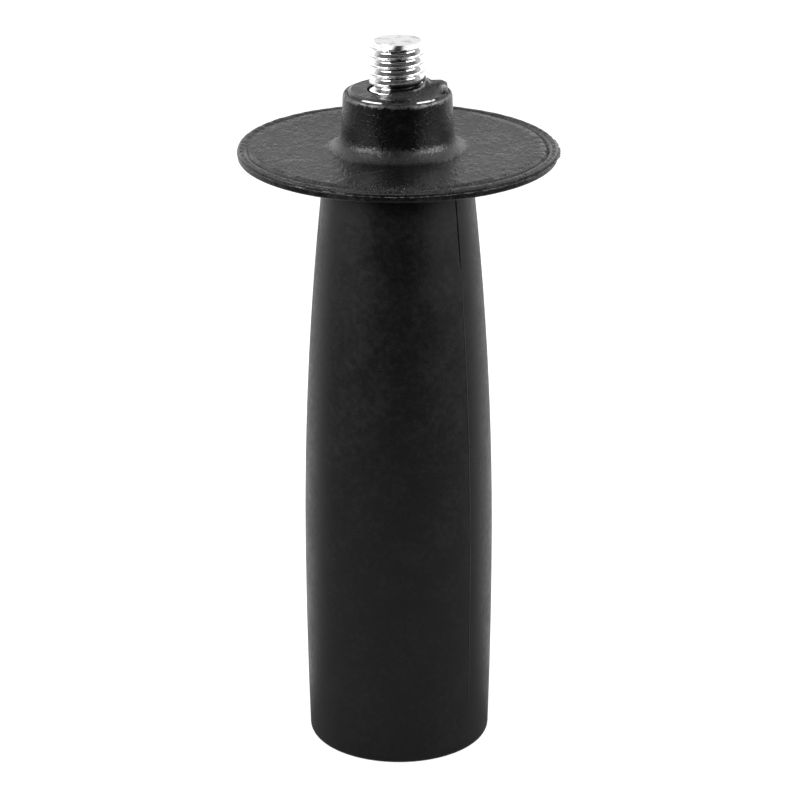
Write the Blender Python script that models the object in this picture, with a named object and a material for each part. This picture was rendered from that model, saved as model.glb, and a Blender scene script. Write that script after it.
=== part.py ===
"""Side handle for a hand-held machine: a black moulded grip on a steel bolt.

The grip, its round hand guard and the boss above it are one plastic moulding.
A hexagon-headed bolt is moulded into it, head down, and its threaded end stands
out of the boss. The handle stands on its butt, +Z up, the photographer at -Y.
"""

import math

import bmesh
import bpy
from mathutils import Vector

MM = 0.001

# Grip, a barrel with its widest place low down
grip_length = 87.3 * MM
butt_radius = 12.98 * MM
belly_radius = 13.42 * MM
belly_height = 29.2 * MM
neck_radius = 10.14 * MM
butt_edge_radius = 1.15 * MM
neck_fillet_radius = 0.8 * MM

# Hand guard, with a groove and a rounded bead along its rim
guard_radius = 22.2 * MM
guard_thickness = 1.4 * MM
rim_band_width = 2.1 * MM
rim_groove_width = 0.8 * MM
rim_groove_depth = 0.12 * MM
rim_bead_rise = 0.1 * MM
rim_edge_radius = 0.35 * MM

# Moulding flash round the rim, wider where the mould halves stood off
flash_place_on_wall = 0.69
flash_thickness = 0.16 * MM
flash_reach_low = 0.1 * MM
flash_reach_high = 0.45 * MM

# Boss, with the low collar that the bolt stands in
boss_height = 8.15 * MM
boss_foot_radius = 7.82 * MM
boss_top_radius = 7.58 * MM
boss_fillet_radius = 2.3 * MM
shoulder_radius = 0.75 * MM
crevice_inset = 0.27 * MM
crevice_width = 0.36 * MM
crevice_floor_width = 0.18 * MM
crevice_drop = 0.35 * MM
collar_height = 0.2 * MM
collar_lean_width = 0.09 * MM
collar_slope_width = 0.42 * MM

# The land on the collar, with the plastic round the bolt torn up on one side
tear_from = math.radians(-118)
tear_to = math.radians(48)
tear_start_blend = math.radians(20)
tear_end_blend = math.radians(33)
tear_climb_share = 0.65
tear_rise_low = 0.4 * MM
tear_rise_high = 1.3 * MM
tear_outer_rise = 0.85 * MM
tear_outer_angle = math.radians(3)
tear_outer_spread = math.radians(42)

# Bolt, M8 with the standard coarse thread and hexagon head
bolt_reach = 6.85 * MM
bolt_length = 25.0 * MM
bolt_radius = 3.92 * MM
bolt_end_chamfer = 0.62 * MM
bolt_end_chamfer_angle = math.radians(35)
thread_pitch = 1.25 * MM
thread_depth_per_pitch = 0.6134
thread_crest_per_pitch = 0.125
thread_flank_angle = math.radians(30)
thread_length = 12.0 * MM
thread_start_angle = math.radians(223)
head_across_flats = 13.0 * MM
head_height = 5.3 * MM

# Room between the bolt and the plastic round it
fit_clearance = 0.3 * MM

# Facets
moulding_columns = 64
bolt_columns = 32
sharp_angle = math.radians(38)

# Heights and radii that follow
guard_top = grip_length + guard_thickness
shoulder_top = guard_top + boss_height
collar_top = shoulder_top + collar_height
bolt_top = collar_top + bolt_reach
head_top = bolt_top - bolt_length
rim_crest = guard_top + rim_bead_rise
pocket_radius = bolt_radius + fit_clearance
collar_radius = boss_top_radius - crevice_inset - crevice_width
brim_radius = collar_radius - collar_lean_width
land_radius = brim_radius - collar_slope_width
full_turn = 2 * math.pi


def arc(centre_radius, centre_height, radius, start, end, steps):
    """Points (radius, height) along an arc, with its angles in degrees from +X."""
    points = []
    for step in range(steps + 1):
        angle = math.radians(start + (end - start) * step / steps)
        points.append((centre_radius + radius * math.cos(angle), centre_height + radius * math.sin(angle)))
    return points


def barrel_radius(height):
    """Radius of the grip at a height: two long arcs that meet at the belly."""
    if height < belly_height:
        run = belly_height
        drop = belly_radius - butt_radius
    else:
        run = grip_length - belly_height
        drop = belly_radius - neck_radius
    if abs(drop) < 1e-9:
        return belly_radius
    arc_radius = (run ** 2 + drop ** 2) / (2 * drop)
    bow = math.sqrt(arc_radius ** 2 - (height - belly_height) ** 2)
    return belly_radius - arc_radius + math.copysign(bow, arc_radius)


def smooth_step(value):
    """0 below 0, 1 above 1, and a smooth rise between."""
    value = min(max(value, 0.0), 1.0)
    return value * value * (3 - 2 * value)


def torn_share(angle):
    """How far the lip round the bolt is torn up at an angle, from 0 to 1."""
    rising = smooth_step((angle - tear_from) / tear_start_blend)
    falling = smooth_step((tear_to - angle) / tear_end_blend)
    return min(rising, falling)


def lip_rise(angle):
    """How far the lip round the bolt stands above the land, climbing along the tear."""
    climb = smooth_step((angle - tear_from) / (tear_to - tear_from) / tear_climb_share)
    torn = tear_rise_low + (tear_rise_high - tear_rise_low) * climb
    return torn * torn_share(angle)


def edge_rise(angle):
    """How far the land's outer edge is lifted, at the high end of the tear."""
    distance = min(abs(angle - tear_outer_angle) / tear_outer_spread, 1.0)
    return tear_outer_rise * (1 - smooth_step(distance))


def land_height(angle, radius):
    """Height of the collar's top: level, or sloping up from its outer edge to the torn lip."""
    share = (land_radius - radius) / (land_radius - pocket_radius)
    return collar_top + edge_rise(angle) * (1 - share) + lip_rise(angle) * share


def flash_height():
    """Height of the flash, on the straight wall between the rim's two round edges."""
    wall_bottom = grip_length + rim_edge_radius
    wall_top = rim_crest - rim_edge_radius
    return wall_bottom + (wall_top - wall_bottom) * flash_place_on_wall


def flash_reach(angle):
    """How far the flash stands out of the rim at an angle."""
    share = (1 + math.cos(angle)) / 2
    return flash_reach_low + (flash_reach_high - flash_reach_low) * share


def grip_outline():
    """The edge of the butt and the grip's side, up to the guard."""
    edge_centre = barrel_radius(butt_edge_radius) - butt_edge_radius
    points = arc(edge_centre, butt_edge_radius, butt_edge_radius, -90, 0, 4)
    side_foot = butt_edge_radius
    side_top = grip_length - neck_fillet_radius
    steps_below = 4
    steps_above = 9
    for step in range(1, steps_below + 1):
        height = side_foot + (belly_height - side_foot) * step / steps_below
        points.append((barrel_radius(height), height))
    for step in range(1, steps_above + 1):
        height = belly_height + (side_top - belly_height) * step / steps_above
        points.append((barrel_radius(height), height))
    fillet_centre = barrel_radius(side_top) + neck_fillet_radius
    points += arc(fillet_centre, side_top, neck_fillet_radius, 180, 90, 3)[1:]
    return points


def rim_lower_outline():
    """The guard's underside and its edge up to the flash."""
    centre = guard_radius - rim_edge_radius
    points = arc(centre, grip_length + rim_edge_radius, rim_edge_radius, -90, 0, 3)
    points.append((guard_radius, flash_height() - flash_thickness / 2))
    return points


def rim_upper_outline():
    """From the flash over the rim's bead and groove to the guard's flat top."""
    groove = guard_radius - rim_band_width
    bead_inner = groove + rim_groove_width / 2
    edge_centre = guard_radius - rim_edge_radius
    points = [(guard_radius, flash_height() + flash_thickness / 2)]
    points += arc(edge_centre, rim_crest - rim_edge_radius, rim_edge_radius, 10, 90, 3)
    points.append((bead_inner + rim_groove_width / 2, rim_crest))
    points.append((bead_inner, guard_top))
    points.append((groove, guard_top - rim_groove_depth))
    points.append((groove - rim_groove_width / 2, guard_top))
    return points


def boss_outline():
    """The fillet out of the guard, the tapered wall, the round shoulder and its crevice."""
    wall_lean = math.degrees(math.atan2(boss_foot_radius - boss_top_radius, boss_height))
    fillet_centre = boss_foot_radius + boss_fillet_radius
    points = arc(fillet_centre, guard_top + boss_fillet_radius, boss_fillet_radius, 270, 180 + wall_lean, 6)
    shoulder_centre = boss_top_radius - shoulder_radius
    brink = math.degrees(math.acos(1 - crevice_inset / shoulder_radius))
    points += arc(shoulder_centre, shoulder_top - shoulder_radius, shoulder_radius, wall_lean, brink, 4)
    points.append((collar_radius + crevice_floor_width, shoulder_top - crevice_drop))
    points.append((collar_radius, shoulder_top - crevice_drop))
    return points


def add_band(mesh, lower, upper):
    """Join two rings of as many points with a band of faces."""
    for index in range(len(lower)):
        following = (index + 1) % len(lower)
        mesh.faces.new((lower[index], lower[following], upper[following], upper[index]))


class TurnedSkin:
    """A turned skin whose rings may change their radius and height with the angle."""

    def __init__(self, columns):
        self.mesh = bmesh.new()
        self.angles = [full_turn * column / columns - math.pi for column in range(columns)]
        self.last_ring = None

    def ring(self, radius_at, height_at):
        """Add a ring of points and join it to the one before, or cap it if it is the first."""
        ring = []
        for angle in self.angles:
            radius = radius_at(angle)
            place = (radius * math.cos(angle), radius * math.sin(angle), height_at(angle))
            ring.append(self.mesh.verts.new(place))
        if self.last_ring is None:
            self.mesh.faces.new(list(reversed(ring)))
        else:
            add_band(self.mesh, self.last_ring, ring)
        self.last_ring = ring

    def level_ring(self, radius, height):
        """Add a plain round ring."""
        self.ring(lambda angle: radius, lambda angle: height)

    def close(self):
        """Cap the last ring."""
        self.mesh.faces.new(self.last_ring)


def plain_material(name, colour, roughness, metallic):
    """A Principled material with one colour."""
    material = bpy.data.materials.new(name)
    material.use_nodes = True
    shader = material.node_tree.nodes["Principled BSDF"]
    shader.inputs["Base Color"].default_value = (*colour, 1.0)
    shader.inputs["Roughness"].default_value = roughness
    shader.inputs["Metallic"].default_value = metallic
    return material


def add_object(name, mesh_data, material):
    """Put a finished bmesh into the scene as a smooth-shaded object."""
    bmesh.ops.recalc_face_normals(mesh_data, faces=mesh_data.faces)
    mesh = bpy.data.meshes.new(name)
    mesh_data.to_mesh(mesh)
    mesh_data.free()
    mesh.shade_smooth()
    mesh.set_sharp_from_angle(angle=sharp_angle)
    if material is not None:
        mesh.materials.append(material)
    part = bpy.data.objects.new(name, mesh)
    bpy.context.scene.collection.objects.link(part)
    return part


def add_cutter(name, mesh_data):
    """Put a cutter into the scene, shown as wire and left out of renders."""
    cutter = add_object(name, mesh_data, None)
    cutter.hide_render = True
    cutter.display_type = "WIRE"
    return cutter


def cut(part, cutter):
    """Take the cutter's space out of the part."""
    modifier = part.modifiers.new(cutter.name, "BOOLEAN")
    modifier.operation = "DIFFERENCE"
    modifier.object = cutter


def moulding_mesh():
    """Grip, guard and boss in one skin, solid up to the land that the bolt stands in."""
    skin = TurnedSkin(moulding_columns)
    for radius, height in grip_outline() + rim_lower_outline():
        skin.level_ring(radius, height)
    skin.ring(lambda angle: guard_radius + flash_reach(angle), lambda angle: flash_height())
    for radius, height in rim_upper_outline() + boss_outline():
        skin.level_ring(radius, height)
    skin.ring(lambda angle: brim_radius, lambda angle: shoulder_top + edge_rise(angle))
    for radius in (land_radius, bolt_radius):
        skin.ring(lambda angle: radius, lambda angle: land_height(angle, radius))
    skin.close()
    return skin.mesh


def add_polygon(mesh, radius, corners, height):
    """Add a level ring of points, one on the +X side."""
    ring = []
    for corner in range(corners):
        angle = full_turn * corner / corners
        ring.append(mesh.verts.new((radius * math.cos(angle), radius * math.sin(angle), height)))
    return ring


def bolt_mesh(grow, chamfer, top):
    """Bolt without its thread: a hexagon head below, and a shank with a chamfered end.

    The same shape, grown by the clearance and without a chamfer, makes the plastic's pocket.
    """
    mesh = bmesh.new()
    head_radius = (head_across_flats / 2 + grow) / math.cos(math.pi / 6)
    head_bottom = head_top - head_height - grow
    shank_radius = bolt_radius + grow
    head_low = add_polygon(mesh, head_radius, 6, head_bottom)
    head_high = add_polygon(mesh, head_radius, 6, head_top + grow)
    shank_foot = add_polygon(mesh, shank_radius, bolt_columns, head_top + grow)
    mesh.faces.new(list(reversed(head_low)))
    add_band(mesh, head_low, head_high)
    seat_edges = [edge for edge in mesh.edges if len(edge.link_faces) == 1]
    seat_edges += add_edges(mesh, shank_foot)
    bmesh.ops.triangle_fill(mesh, edges=seat_edges, use_beauty=True)
    chamfer_height = chamfer * math.tan(bolt_end_chamfer_angle)
    shank_end = add_polygon(mesh, shank_radius, bolt_columns, top - chamfer_height)
    add_band(mesh, shank_foot, shank_end)
    if chamfer > 0:
        end_ring = add_polygon(mesh, shank_radius - chamfer, bolt_columns, top)
        add_band(mesh, shank_end, end_ring)
        shank_end = end_ring
    mesh.faces.new(shank_end)
    return mesh


def add_edges(mesh, ring):
    """Join a ring of points with edges and return them."""
    edges = []
    for first, second in zip(ring, ring[1:] + ring[:1]):
        edges.append(mesh.edges.new((first, second)))
    return edges


def thread_groove_mesh():
    """Cutter for the thread: the groove's section carried along a right-hand helix."""
    mesh = bmesh.new()
    slope = math.tan(thread_flank_angle)
    depth = thread_pitch * thread_depth_per_pitch
    crest = thread_pitch * thread_crest_per_pitch
    mouth_half = (thread_pitch - crest) / 2
    root_half = mouth_half - depth * slope
    overshoot = crest / 4
    root_radius = bolt_radius - depth
    outer_radius = bolt_radius + overshoot
    outer_half = mouth_half + overshoot * slope
    section = (
        (root_radius, -root_half),
        (outer_radius, -outer_half),
        (outer_radius, outer_half),
        (root_radius, root_half),
    )
    turns = thread_length / thread_pitch + 1
    steps = round(turns * bolt_columns)
    stations = []
    for step in range(steps + 1):
        turn = full_turn * step / bolt_columns
        height = bolt_top + thread_pitch * (1 - step / bolt_columns)
        angle = -turn
        station = []
        for radius, offset in section:
            place = Vector((radius * math.cos(angle), radius * math.sin(angle), height + offset))
            station.append(mesh.verts.new(place))
        stations.append(station)
    for first, second in zip(stations, stations[1:]):
        for corner in range(4):
            following = (corner + 1) % 4
            mesh.faces.new((first[corner], first[following], second[following], second[corner]))
    mesh.faces.new(stations[0])
    mesh.faces.new(list(reversed(stations[-1])))
    return mesh


def build():
    """Make the moulding and the bolt, and cut the pocket and the thread."""
    black_plastic = plain_material("black_plastic", (0.028, 0.028, 0.029), 0.5, 0.0)
    plated_steel = plain_material("plated_steel", (0.78, 0.78, 0.77), 0.22, 1.0)

    moulding = add_object("grip_moulding", moulding_mesh(), black_plastic)
    pocket = add_cutter("bolt_pocket", bolt_mesh(fit_clearance, 0.0, bolt_top))
    cut(moulding, pocket)

    bolt = add_object("threaded_bolt", bolt_mesh(0.0, bolt_end_chamfer, bolt_top), plated_steel)
    groove = add_cutter("thread_groove", thread_groove_mesh())
    groove.rotation_euler = (0.0, 0.0, thread_start_angle)
    cut(bolt, groove)


for leftover in list(bpy.data.objects):
    bpy.data.objects.remove(leftover)
build()
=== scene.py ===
"""Looks of a side handle: a black moulded grip with a round hand guard, on a plated steel bolt.

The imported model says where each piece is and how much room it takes. This script makes each
piece again as a fine mesh with its own finish, then sets up the floor, the light and the camera.
Sizes are in millimetres and angles in degrees, unless a name says otherwise.
"""

import logging
import math
from collections.abc import Iterable, Sequence
from dataclasses import dataclass, field
from enum import Enum
from functools import cached_property, reduce
from typing import Any, Union

import bmesh
import bpy
from mathutils import Matrix, Vector


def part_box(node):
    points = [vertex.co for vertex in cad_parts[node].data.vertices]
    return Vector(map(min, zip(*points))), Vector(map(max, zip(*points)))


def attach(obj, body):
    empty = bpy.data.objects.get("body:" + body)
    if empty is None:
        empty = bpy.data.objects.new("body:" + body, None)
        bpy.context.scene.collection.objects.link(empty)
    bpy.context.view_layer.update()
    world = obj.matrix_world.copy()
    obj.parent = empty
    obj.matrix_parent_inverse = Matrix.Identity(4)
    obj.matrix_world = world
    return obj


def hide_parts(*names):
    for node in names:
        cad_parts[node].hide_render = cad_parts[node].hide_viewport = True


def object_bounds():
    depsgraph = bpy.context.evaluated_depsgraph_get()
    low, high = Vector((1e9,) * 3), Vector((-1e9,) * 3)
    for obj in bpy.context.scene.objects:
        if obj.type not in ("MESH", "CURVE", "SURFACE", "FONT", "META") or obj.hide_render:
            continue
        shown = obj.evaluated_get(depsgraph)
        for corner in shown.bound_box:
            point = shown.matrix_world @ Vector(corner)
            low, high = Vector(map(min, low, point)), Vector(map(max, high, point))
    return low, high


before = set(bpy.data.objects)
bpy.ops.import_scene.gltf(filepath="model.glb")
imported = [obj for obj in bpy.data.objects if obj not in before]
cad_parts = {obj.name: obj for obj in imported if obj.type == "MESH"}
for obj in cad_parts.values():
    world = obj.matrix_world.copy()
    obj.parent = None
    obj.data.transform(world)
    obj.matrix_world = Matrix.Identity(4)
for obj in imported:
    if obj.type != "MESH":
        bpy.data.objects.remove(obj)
cad_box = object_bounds()

MM = 0.001
FULL_TURN = 2 * math.pi
WELD_DISTANCE = 0.002 * MM
BODY = "root"
MOULDING_NODE = "grip_moulding"
BOLT_NODE = "threaded_bolt"
LEVEL = Vector((1.0, 1.0, 0.0))
# Colour of the painted shade in the parting line's groove
GROOVE_SHADE_BLACK = (0.002, 0.002, 0.002, 1.0)

# How far the flash reaches, and where that is in its thickness
FLASH_SECTION = (
    (0.0, -0.5), (0.5, -0.3), (0.9, -0.12), (1.0, 0.0), (0.9, 0.12), (0.5, 0.3), (0.0, 0.5),
)
# Across the rim's groove: the place in its width, the share of the bead's rise and of the depth
GROOVE_SECTION = ((0.25, 0.6, 0.2), (0.1, 0.2, 0.6), (-0.1, 0.0, 1.0), (-0.3, 0.0, 0.6), (-0.5, 0.0, 0.0))

log = logging.getLogger("side_handle")

Point = tuple[float, float]
Colour = tuple[float, float, float, float]
Operand = Union["Term", float, Sequence[float]]


class Trait(Enum):
    """What can move one ring of the moulding away from a plain turned shape."""

    FLASH = "flash"
    GROOVE = "groove"
    WARP = "warp"
    ROUGH = "rough"
    PARTING = "parting"
    COLLAR = "collar"
    INWARD = "inward"
    HEXAGON = "hexagon"


class Side(Enum):
    """The side of the handle that a soft light stands on, as a sign on its azimuth."""

    LEFT = -1
    RIGHT = 1


class Cut(Enum):
    """How one closed solid changes another."""

    JOIN = "UNION"
    KEEP_COMMON = "INTERSECT"


class Term:
    """A socket of a node tree that can stand in a Python expression."""

    def __init__(self, board: "Board", socket: bpy.types.NodeSocket) -> None:
        """Wrap a socket.

        Args:
            board: What adds the nodes that an expression needs.
            socket: The output that the expression starts from.
        """
        self.board = board
        self.socket = socket

    def other(self, name: str) -> "Term":
        """Another output of the same node, by its name."""
        return Term(self.board, self.socket.node.outputs[name])

    def __add__(self, other: Operand) -> "Term":
        """Sum of two values."""
        return self.board.maths("ADD", self, other)

    def __radd__(self, other: Operand) -> "Term":
        """Sum of two values, this one last."""
        return self.board.maths("ADD", other, self)

    def __sub__(self, other: Operand) -> "Term":
        """Difference of two values."""
        return self.board.maths("SUBTRACT", self, other)

    def __rsub__(self, other: Operand) -> "Term":
        """Difference of two values, this one taken away."""
        return self.board.maths("SUBTRACT", other, self)

    def __mul__(self, other: Operand) -> "Term":
        """Product of two values, or a vector made longer."""
        return self.board.maths("MULTIPLY", self, other)

    def __rmul__(self, other: Operand) -> "Term":
        """Product of two values, this one last."""
        return self.board.maths("MULTIPLY", other, self)

    def __truediv__(self, other: Operand) -> "Term":
        """This value divided by another."""
        return self.board.maths("DIVIDE", self, other)

    def __rtruediv__(self, other: Operand) -> "Term":
        """Another value divided by this one."""
        return self.board.maths("DIVIDE", other, self)

    def __mod__(self, other: Operand) -> "Term":
        """What is left after whole steps of another value."""
        return self.board.maths("FLOORED_MODULO", self, other)

    def __rpow__(self, other: Operand) -> "Term":
        """Another value to the power of this one."""
        return self.board.maths("POWER", other, self)

    def __neg__(self) -> "Term":
        """This value with its sign turned."""
        return self.board.maths("MULTIPLY", self, -1.0)

    def __abs__(self) -> "Term":
        """This value without its sign."""
        return self.board.maths("ABSOLUTE", self)

    def sine(self) -> "Term":
        """Sine of an angle in radians."""
        return self.board.maths("SINE", self)

    def cosine(self) -> "Term":
        """Cosine of an angle in radians."""
        return self.board.maths("COSINE", self)

    def at_most(self, other: Operand) -> "Term":
        """The lesser of two values."""
        return self.board.maths("MINIMUM", self, other)

    def at_least(self, other: Operand) -> "Term":
        """The greater of two values."""
        return self.board.maths("MAXIMUM", self, other)

    def length(self) -> "Term":
        """Length of a vector."""
        return self.board.node("ShaderNodeVectorMath", {"operation": "LENGTH"}, {0: self}, "Value")

    def dot(self, other: Operand) -> "Term":
        """Dot product of two vectors."""
        settings = {"operation": "DOT_PRODUCT"}
        return self.board.node("ShaderNodeVectorMath", settings, {0: self, 1: other}, "Value")

    def part(self, axis: str) -> "Term":
        """One part of a vector: X, Y or Z."""
        return self.board.node("ShaderNodeSeparateXYZ", {}, {0: self}, axis)

    def is_vector(self) -> bool:
        """Whether the socket carries a vector."""
        return self.socket.type == "VECTOR"


class Board:
    """Adds nodes to one node tree."""

    def __init__(self, tree: bpy.types.NodeTree) -> None:
        """Keep the tree.

        Args:
            tree: The node tree of a material, of the world or of a modifier.
        """
        self.tree = tree

    def node(
        self,
        kind: str,
        settings: dict[str, Any] | None = None,
        sockets: dict[int | str, Any] | None = None,
        output: int | str = 0,
    ) -> Term:
        """Add a node.

        Args:
            kind: The node's type.
            settings: Its properties, which are set first.
            sockets: The value or the link of each input, by number or name.
            output: The output that is returned.

        Returns:
            The chosen output.
        """
        made = self.tree.nodes.new(kind)
        for name, value in (settings or {}).items():
            setattr(made, name, value)
        for key, value in (sockets or {}).items():
            if isinstance(value, Term):
                self.tree.links.new(value.socket, made.inputs[key])
            else:
                made.inputs[key].default_value = value
        return Term(self, made.outputs[output] if made.outputs else made.inputs[0])

    def maths(self, operation: str, *operands: Operand) -> Term:
        """Add a Math node, or a Vector Math node where an operand is a vector.

        Args:
            operation: The operation's name in the node.
            operands: The values, in order. A vector may be multiplied by one number.

        Returns:
            The result.
        """
        vectors = [one for one in operands if not isinstance(one, (int, float, Term))]
        vectors += [one for one in operands if isinstance(one, Term) and one.is_vector()]
        if not vectors:
            return self.node("ShaderNodeMath", {"operation": operation}, dict(enumerate(operands)))
        if operation == "MULTIPLY" and len(vectors) == 1:
            factor = next(one for one in operands if one is not vectors[0])
            sockets = {0: vectors[0], "Scale": factor}
            return self.node("ShaderNodeVectorMath", {"operation": "SCALE"}, sockets)
        return self.node("ShaderNodeVectorMath", {"operation": operation}, dict(enumerate(operands)))

    def step(self, value: Operand, low: Operand, high: Operand) -> Term:
        """Rise smoothly from 0 to 1, or fall from 1 to 0 where low is the greater.

        Args:
            value: What the step is read at.
            low: Where the step starts.
            high: Where it ends.

        Returns:
            The share, from 0 to 1.
        """
        sockets = {"Value": value, "From Min": low, "From Max": high}
        return self.node("ShaderNodeMapRange", {"interpolation_type": "SMOOTHSTEP"}, sockets)

    def mix(self, share: Operand, first: Operand, second: Operand) -> Term:
        """Blend two values, or two colours where one of them is a colour.

        Args:
            share: 0 for all of the first, 1 for all of the second.
            first: One value or colour.
            second: The other.

        Returns:
            The blend.
        """
        colours = any(isinstance(one, tuple) or one_is_colour(one) for one in (first, second))
        if colours:
            return self.node("ShaderNodeMix", {"data_type": "RGBA"}, {0: share, 6: first, 7: second}, 2)
        return self.node("ShaderNodeMix", {"data_type": "FLOAT"}, {0: share, 2: first, 3: second})

    def noise(self, place: Term, scale: float, detail: float, seed: Operand, warp: float = 0.0) -> Term:
        """Cloudy noise about 0.5.

        Args:
            place: Where it is read.
            scale: How many clouds lie along one unit of the place.
            detail: How many finer layers are added.
            seed: Which noise it is.
            warp: How far it is twisted.

        Returns:
            The noise, mostly from 0.3 to 0.7.
        """
        sockets = {"Vector": place, "W": seed, "Scale": scale, "Detail": detail, "Distortion": warp}
        return self.node("ShaderNodeTexNoise", {"noise_dimensions": "4D"}, sockets)

    def vector(self, x: Operand, y: Operand, z: Operand) -> Term:
        """A vector of three values."""
        return self.node("ShaderNodeCombineXYZ", {}, {0: x, 1: y, 2: z})


def one_is_colour(value: Operand) -> bool:
    """Whether a value is a socket that carries a colour."""
    return isinstance(value, Term) and value.socket.type == "RGBA"


class GeometryTree(Board):
    """A Geometry Nodes tree that turns a profile into a piece, with named inputs for its sizes."""

    def __init__(self, name: str) -> None:
        """Start the tree.

        Args:
            name: The tree's name.
        """
        group = bpy.data.node_groups.new(name, "GeometryNodeTree")
        group.is_modifier = True
        group.interface.new_socket("Geometry", in_out="INPUT", socket_type="NodeSocketGeometry")
        group.interface.new_socket("Geometry", in_out="OUTPUT", socket_type="NodeSocketGeometry")
        super().__init__(group)
        self.entry = group.nodes.new("NodeGroupInput")
        self.values: dict[str, float | int] = {}

    def profile(self) -> Term:
        """The geometry that the tree is given."""
        return Term(self, self.entry.outputs["Geometry"])

    def size(self, name: str, value: float | int) -> Term:
        """Add a named input, and keep the value that the modifier will hold.

        Args:
            name: The input's name.
            value: Its value. A whole number makes a whole-number input.

        Returns:
            The input.
        """
        kind = "NodeSocketInt" if isinstance(value, int) else "NodeSocketFloat"
        socket = self.tree.interface.new_socket(name, in_out="INPUT", socket_type=kind)
        self.values[socket.identifier] = value
        return Term(self, self.entry.outputs[name])

    def close(self, geometry: Term, material: bpy.types.Material) -> None:
        """End the tree with real geometry in one material.

        Args:
            geometry: What the tree has made.
            material: Its finish.
        """
        real = self.node("GeometryNodeRealizeInstances", {}, {"Geometry": geometry})
        dressed = self.node("GeometryNodeSetMaterial", {}, {"Geometry": real, "Material": material})
        self.node("NodeGroupOutput", {}, {"Geometry": dressed})

    def piece(self, name: str, profile: bpy.types.Mesh) -> bpy.types.Object:
        """Run the tree on a profile.

        Args:
            name: The piece's name.
            profile: The profile, as points with attributes.

        Returns:
            The piece, as a plain mesh with no modifier.
        """
        piece = linked(name, profile)
        modifier = piece.modifiers.new("shape", "NODES")
        modifier.node_group = self.tree
        for identifier, value in self.values.items():
            modifier[identifier] = value
        return plain(piece)


@dataclass(frozen=True)
class Ring:
    """One ring of a turned skin.

    Attributes:
        radius: Its radius.
        height: Its height above the floor.
        traits: How strongly each uneven feature moves it.
    """

    radius: float
    height: float
    traits: dict[Trait, float] = field(default_factory=dict)


def profile_mesh(name: str, rings: Iterable[Ring]) -> bpy.types.Mesh:
    """Hold the rings of a turned skin as points, with their traits as attributes.

    Args:
        name: The mesh's name.
        rings: The rings in order along the skin.

    Returns:
        The points, with the radius along X and the height along Z, in metres.
    """
    rings = list(rings)
    mesh = bpy.data.meshes.new(name)
    mesh.from_pydata([(ring.radius * MM, 0.0, ring.height * MM) for ring in rings], [], [])
    for trait in Trait:
        layer = mesh.attributes.new(trait.value, "FLOAT", "POINT")
        layer.data.foreach_set("value", [ring.traits.get(trait, 0.0) for ring in rings])
    return mesh


class TurnedGrid:
    """The grid that a profile is turned on: a column for each angle and a row for each ring."""

    def __init__(self, tree: GeometryTree, columns: int, rings: int) -> None:
        """Lay the grid out.

        Args:
            tree: The tree that it is part of.
            columns: How many columns go round.
            rings: How many rings the profile has.
        """
        self.tree = tree
        column_count = tree.size("Columns", columns)
        ring_count = tree.size("Rings", rings)
        sockets = {"Vertices X": column_count + 1, "Vertices Y": ring_count}
        self.mesh = tree.node("GeometryNodeMeshGrid", {}, sockets)
        index = tree.node("GeometryNodeInputIndex")
        self.ring = index % ring_count
        column = (index - self.ring) / ring_count
        self.turn = (column / column_count - 0.5) * FULL_TURN
        place = self.sampled(tree.node("GeometryNodeInputPosition"), "FLOAT_VECTOR")
        self.radius = place.part("X")
        self.height = place.part("Z")

    def sampled(self, value: Term, kind: str) -> Term:
        """Read a value of the profile at each point's ring.

        Args:
            value: The value on the profile.
            kind: Its data type.

        Returns:
            The value on the grid.
        """
        sockets = {"Geometry": self.tree.profile(), "Value": value, "Index": self.ring}
        return self.tree.node("GeometryNodeSampleIndex", {"data_type": kind}, sockets)

    def trait(self, trait: Trait) -> Term:
        """How strongly a feature moves each point's ring.

        Args:
            trait: The feature.

        Returns:
            Its share on the grid.
        """
        settings = {"data_type": "FLOAT"}
        stored = self.tree.node("GeometryNodeInputNamedAttribute", settings, {"Name": trait.value})
        return self.sampled(stored, "FLOAT")

    def turned(self, angle: Term, radius: Term, height: Term) -> Term:
        """Place the points, and close the seam and both ends.

        Args:
            angle: Each point's angle in radians.
            radius: Its radius in metres.
            height: Its height in metres.

        Returns:
            The closed skin.
        """
        place = self.tree.vector(angle.cosine() * radius, angle.sine() * radius, height)
        placed = self.tree.node("GeometryNodeSetPosition", {}, {"Geometry": self.mesh, "Position": place})
        sockets = {"Geometry": placed, "Distance": WELD_DISTANCE}
        return self.tree.node("GeometryNodeMergeByDistance", {}, sockets)


def linked(name: str, data: bpy.types.ID) -> bpy.types.Object:
    """Add an object to the scene.

    Args:
        name: Its name.
        data: Its mesh, light or camera.

    Returns:
        The object.
    """
    made = bpy.data.objects.new(name, data)
    bpy.context.scene.collection.objects.link(made)
    return made


def plain(piece: bpy.types.Object) -> bpy.types.Object:
    """Turn a piece into the mesh that its modifiers make of it, and drop them.

    Args:
        piece: An object with modifiers.

    Returns:
        The same object.
    """
    graph = bpy.context.evaluated_depsgraph_get()
    mesh = bpy.data.meshes.new_from_object(piece.evaluated_get(graph))
    piece.modifiers.clear()
    piece.data = mesh
    return piece


def smooth(piece: bpy.types.Object, sharp_angle: float) -> None:
    """Shade a piece smooth, apart from its sharp edges.

    Args:
        piece: The piece.
        sharp_angle: The angle from which an edge is sharp.
    """
    piece.data.shade_smooth()
    piece.data.set_sharp_from_angle(angle=math.radians(sharp_angle))


def arc(centre: Point, radius: float, start: float, end: float, steps: int) -> list[Point]:
    """Points along an arc.

    Args:
        centre: The radius and height of its middle.
        radius: The arc's own radius.
        start: Its first angle, counted from the outward direction.
        end: Its last angle.
        steps: How many stretches it has.

    Returns:
        (radius, height) of each point.
    """
    points = []
    for step in range(steps + 1):
        angle = math.radians(start + (end - start) * step / steps)
        points.append((centre[0] + radius * math.cos(angle), centre[1] + radius * math.sin(angle)))
    return points


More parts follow.
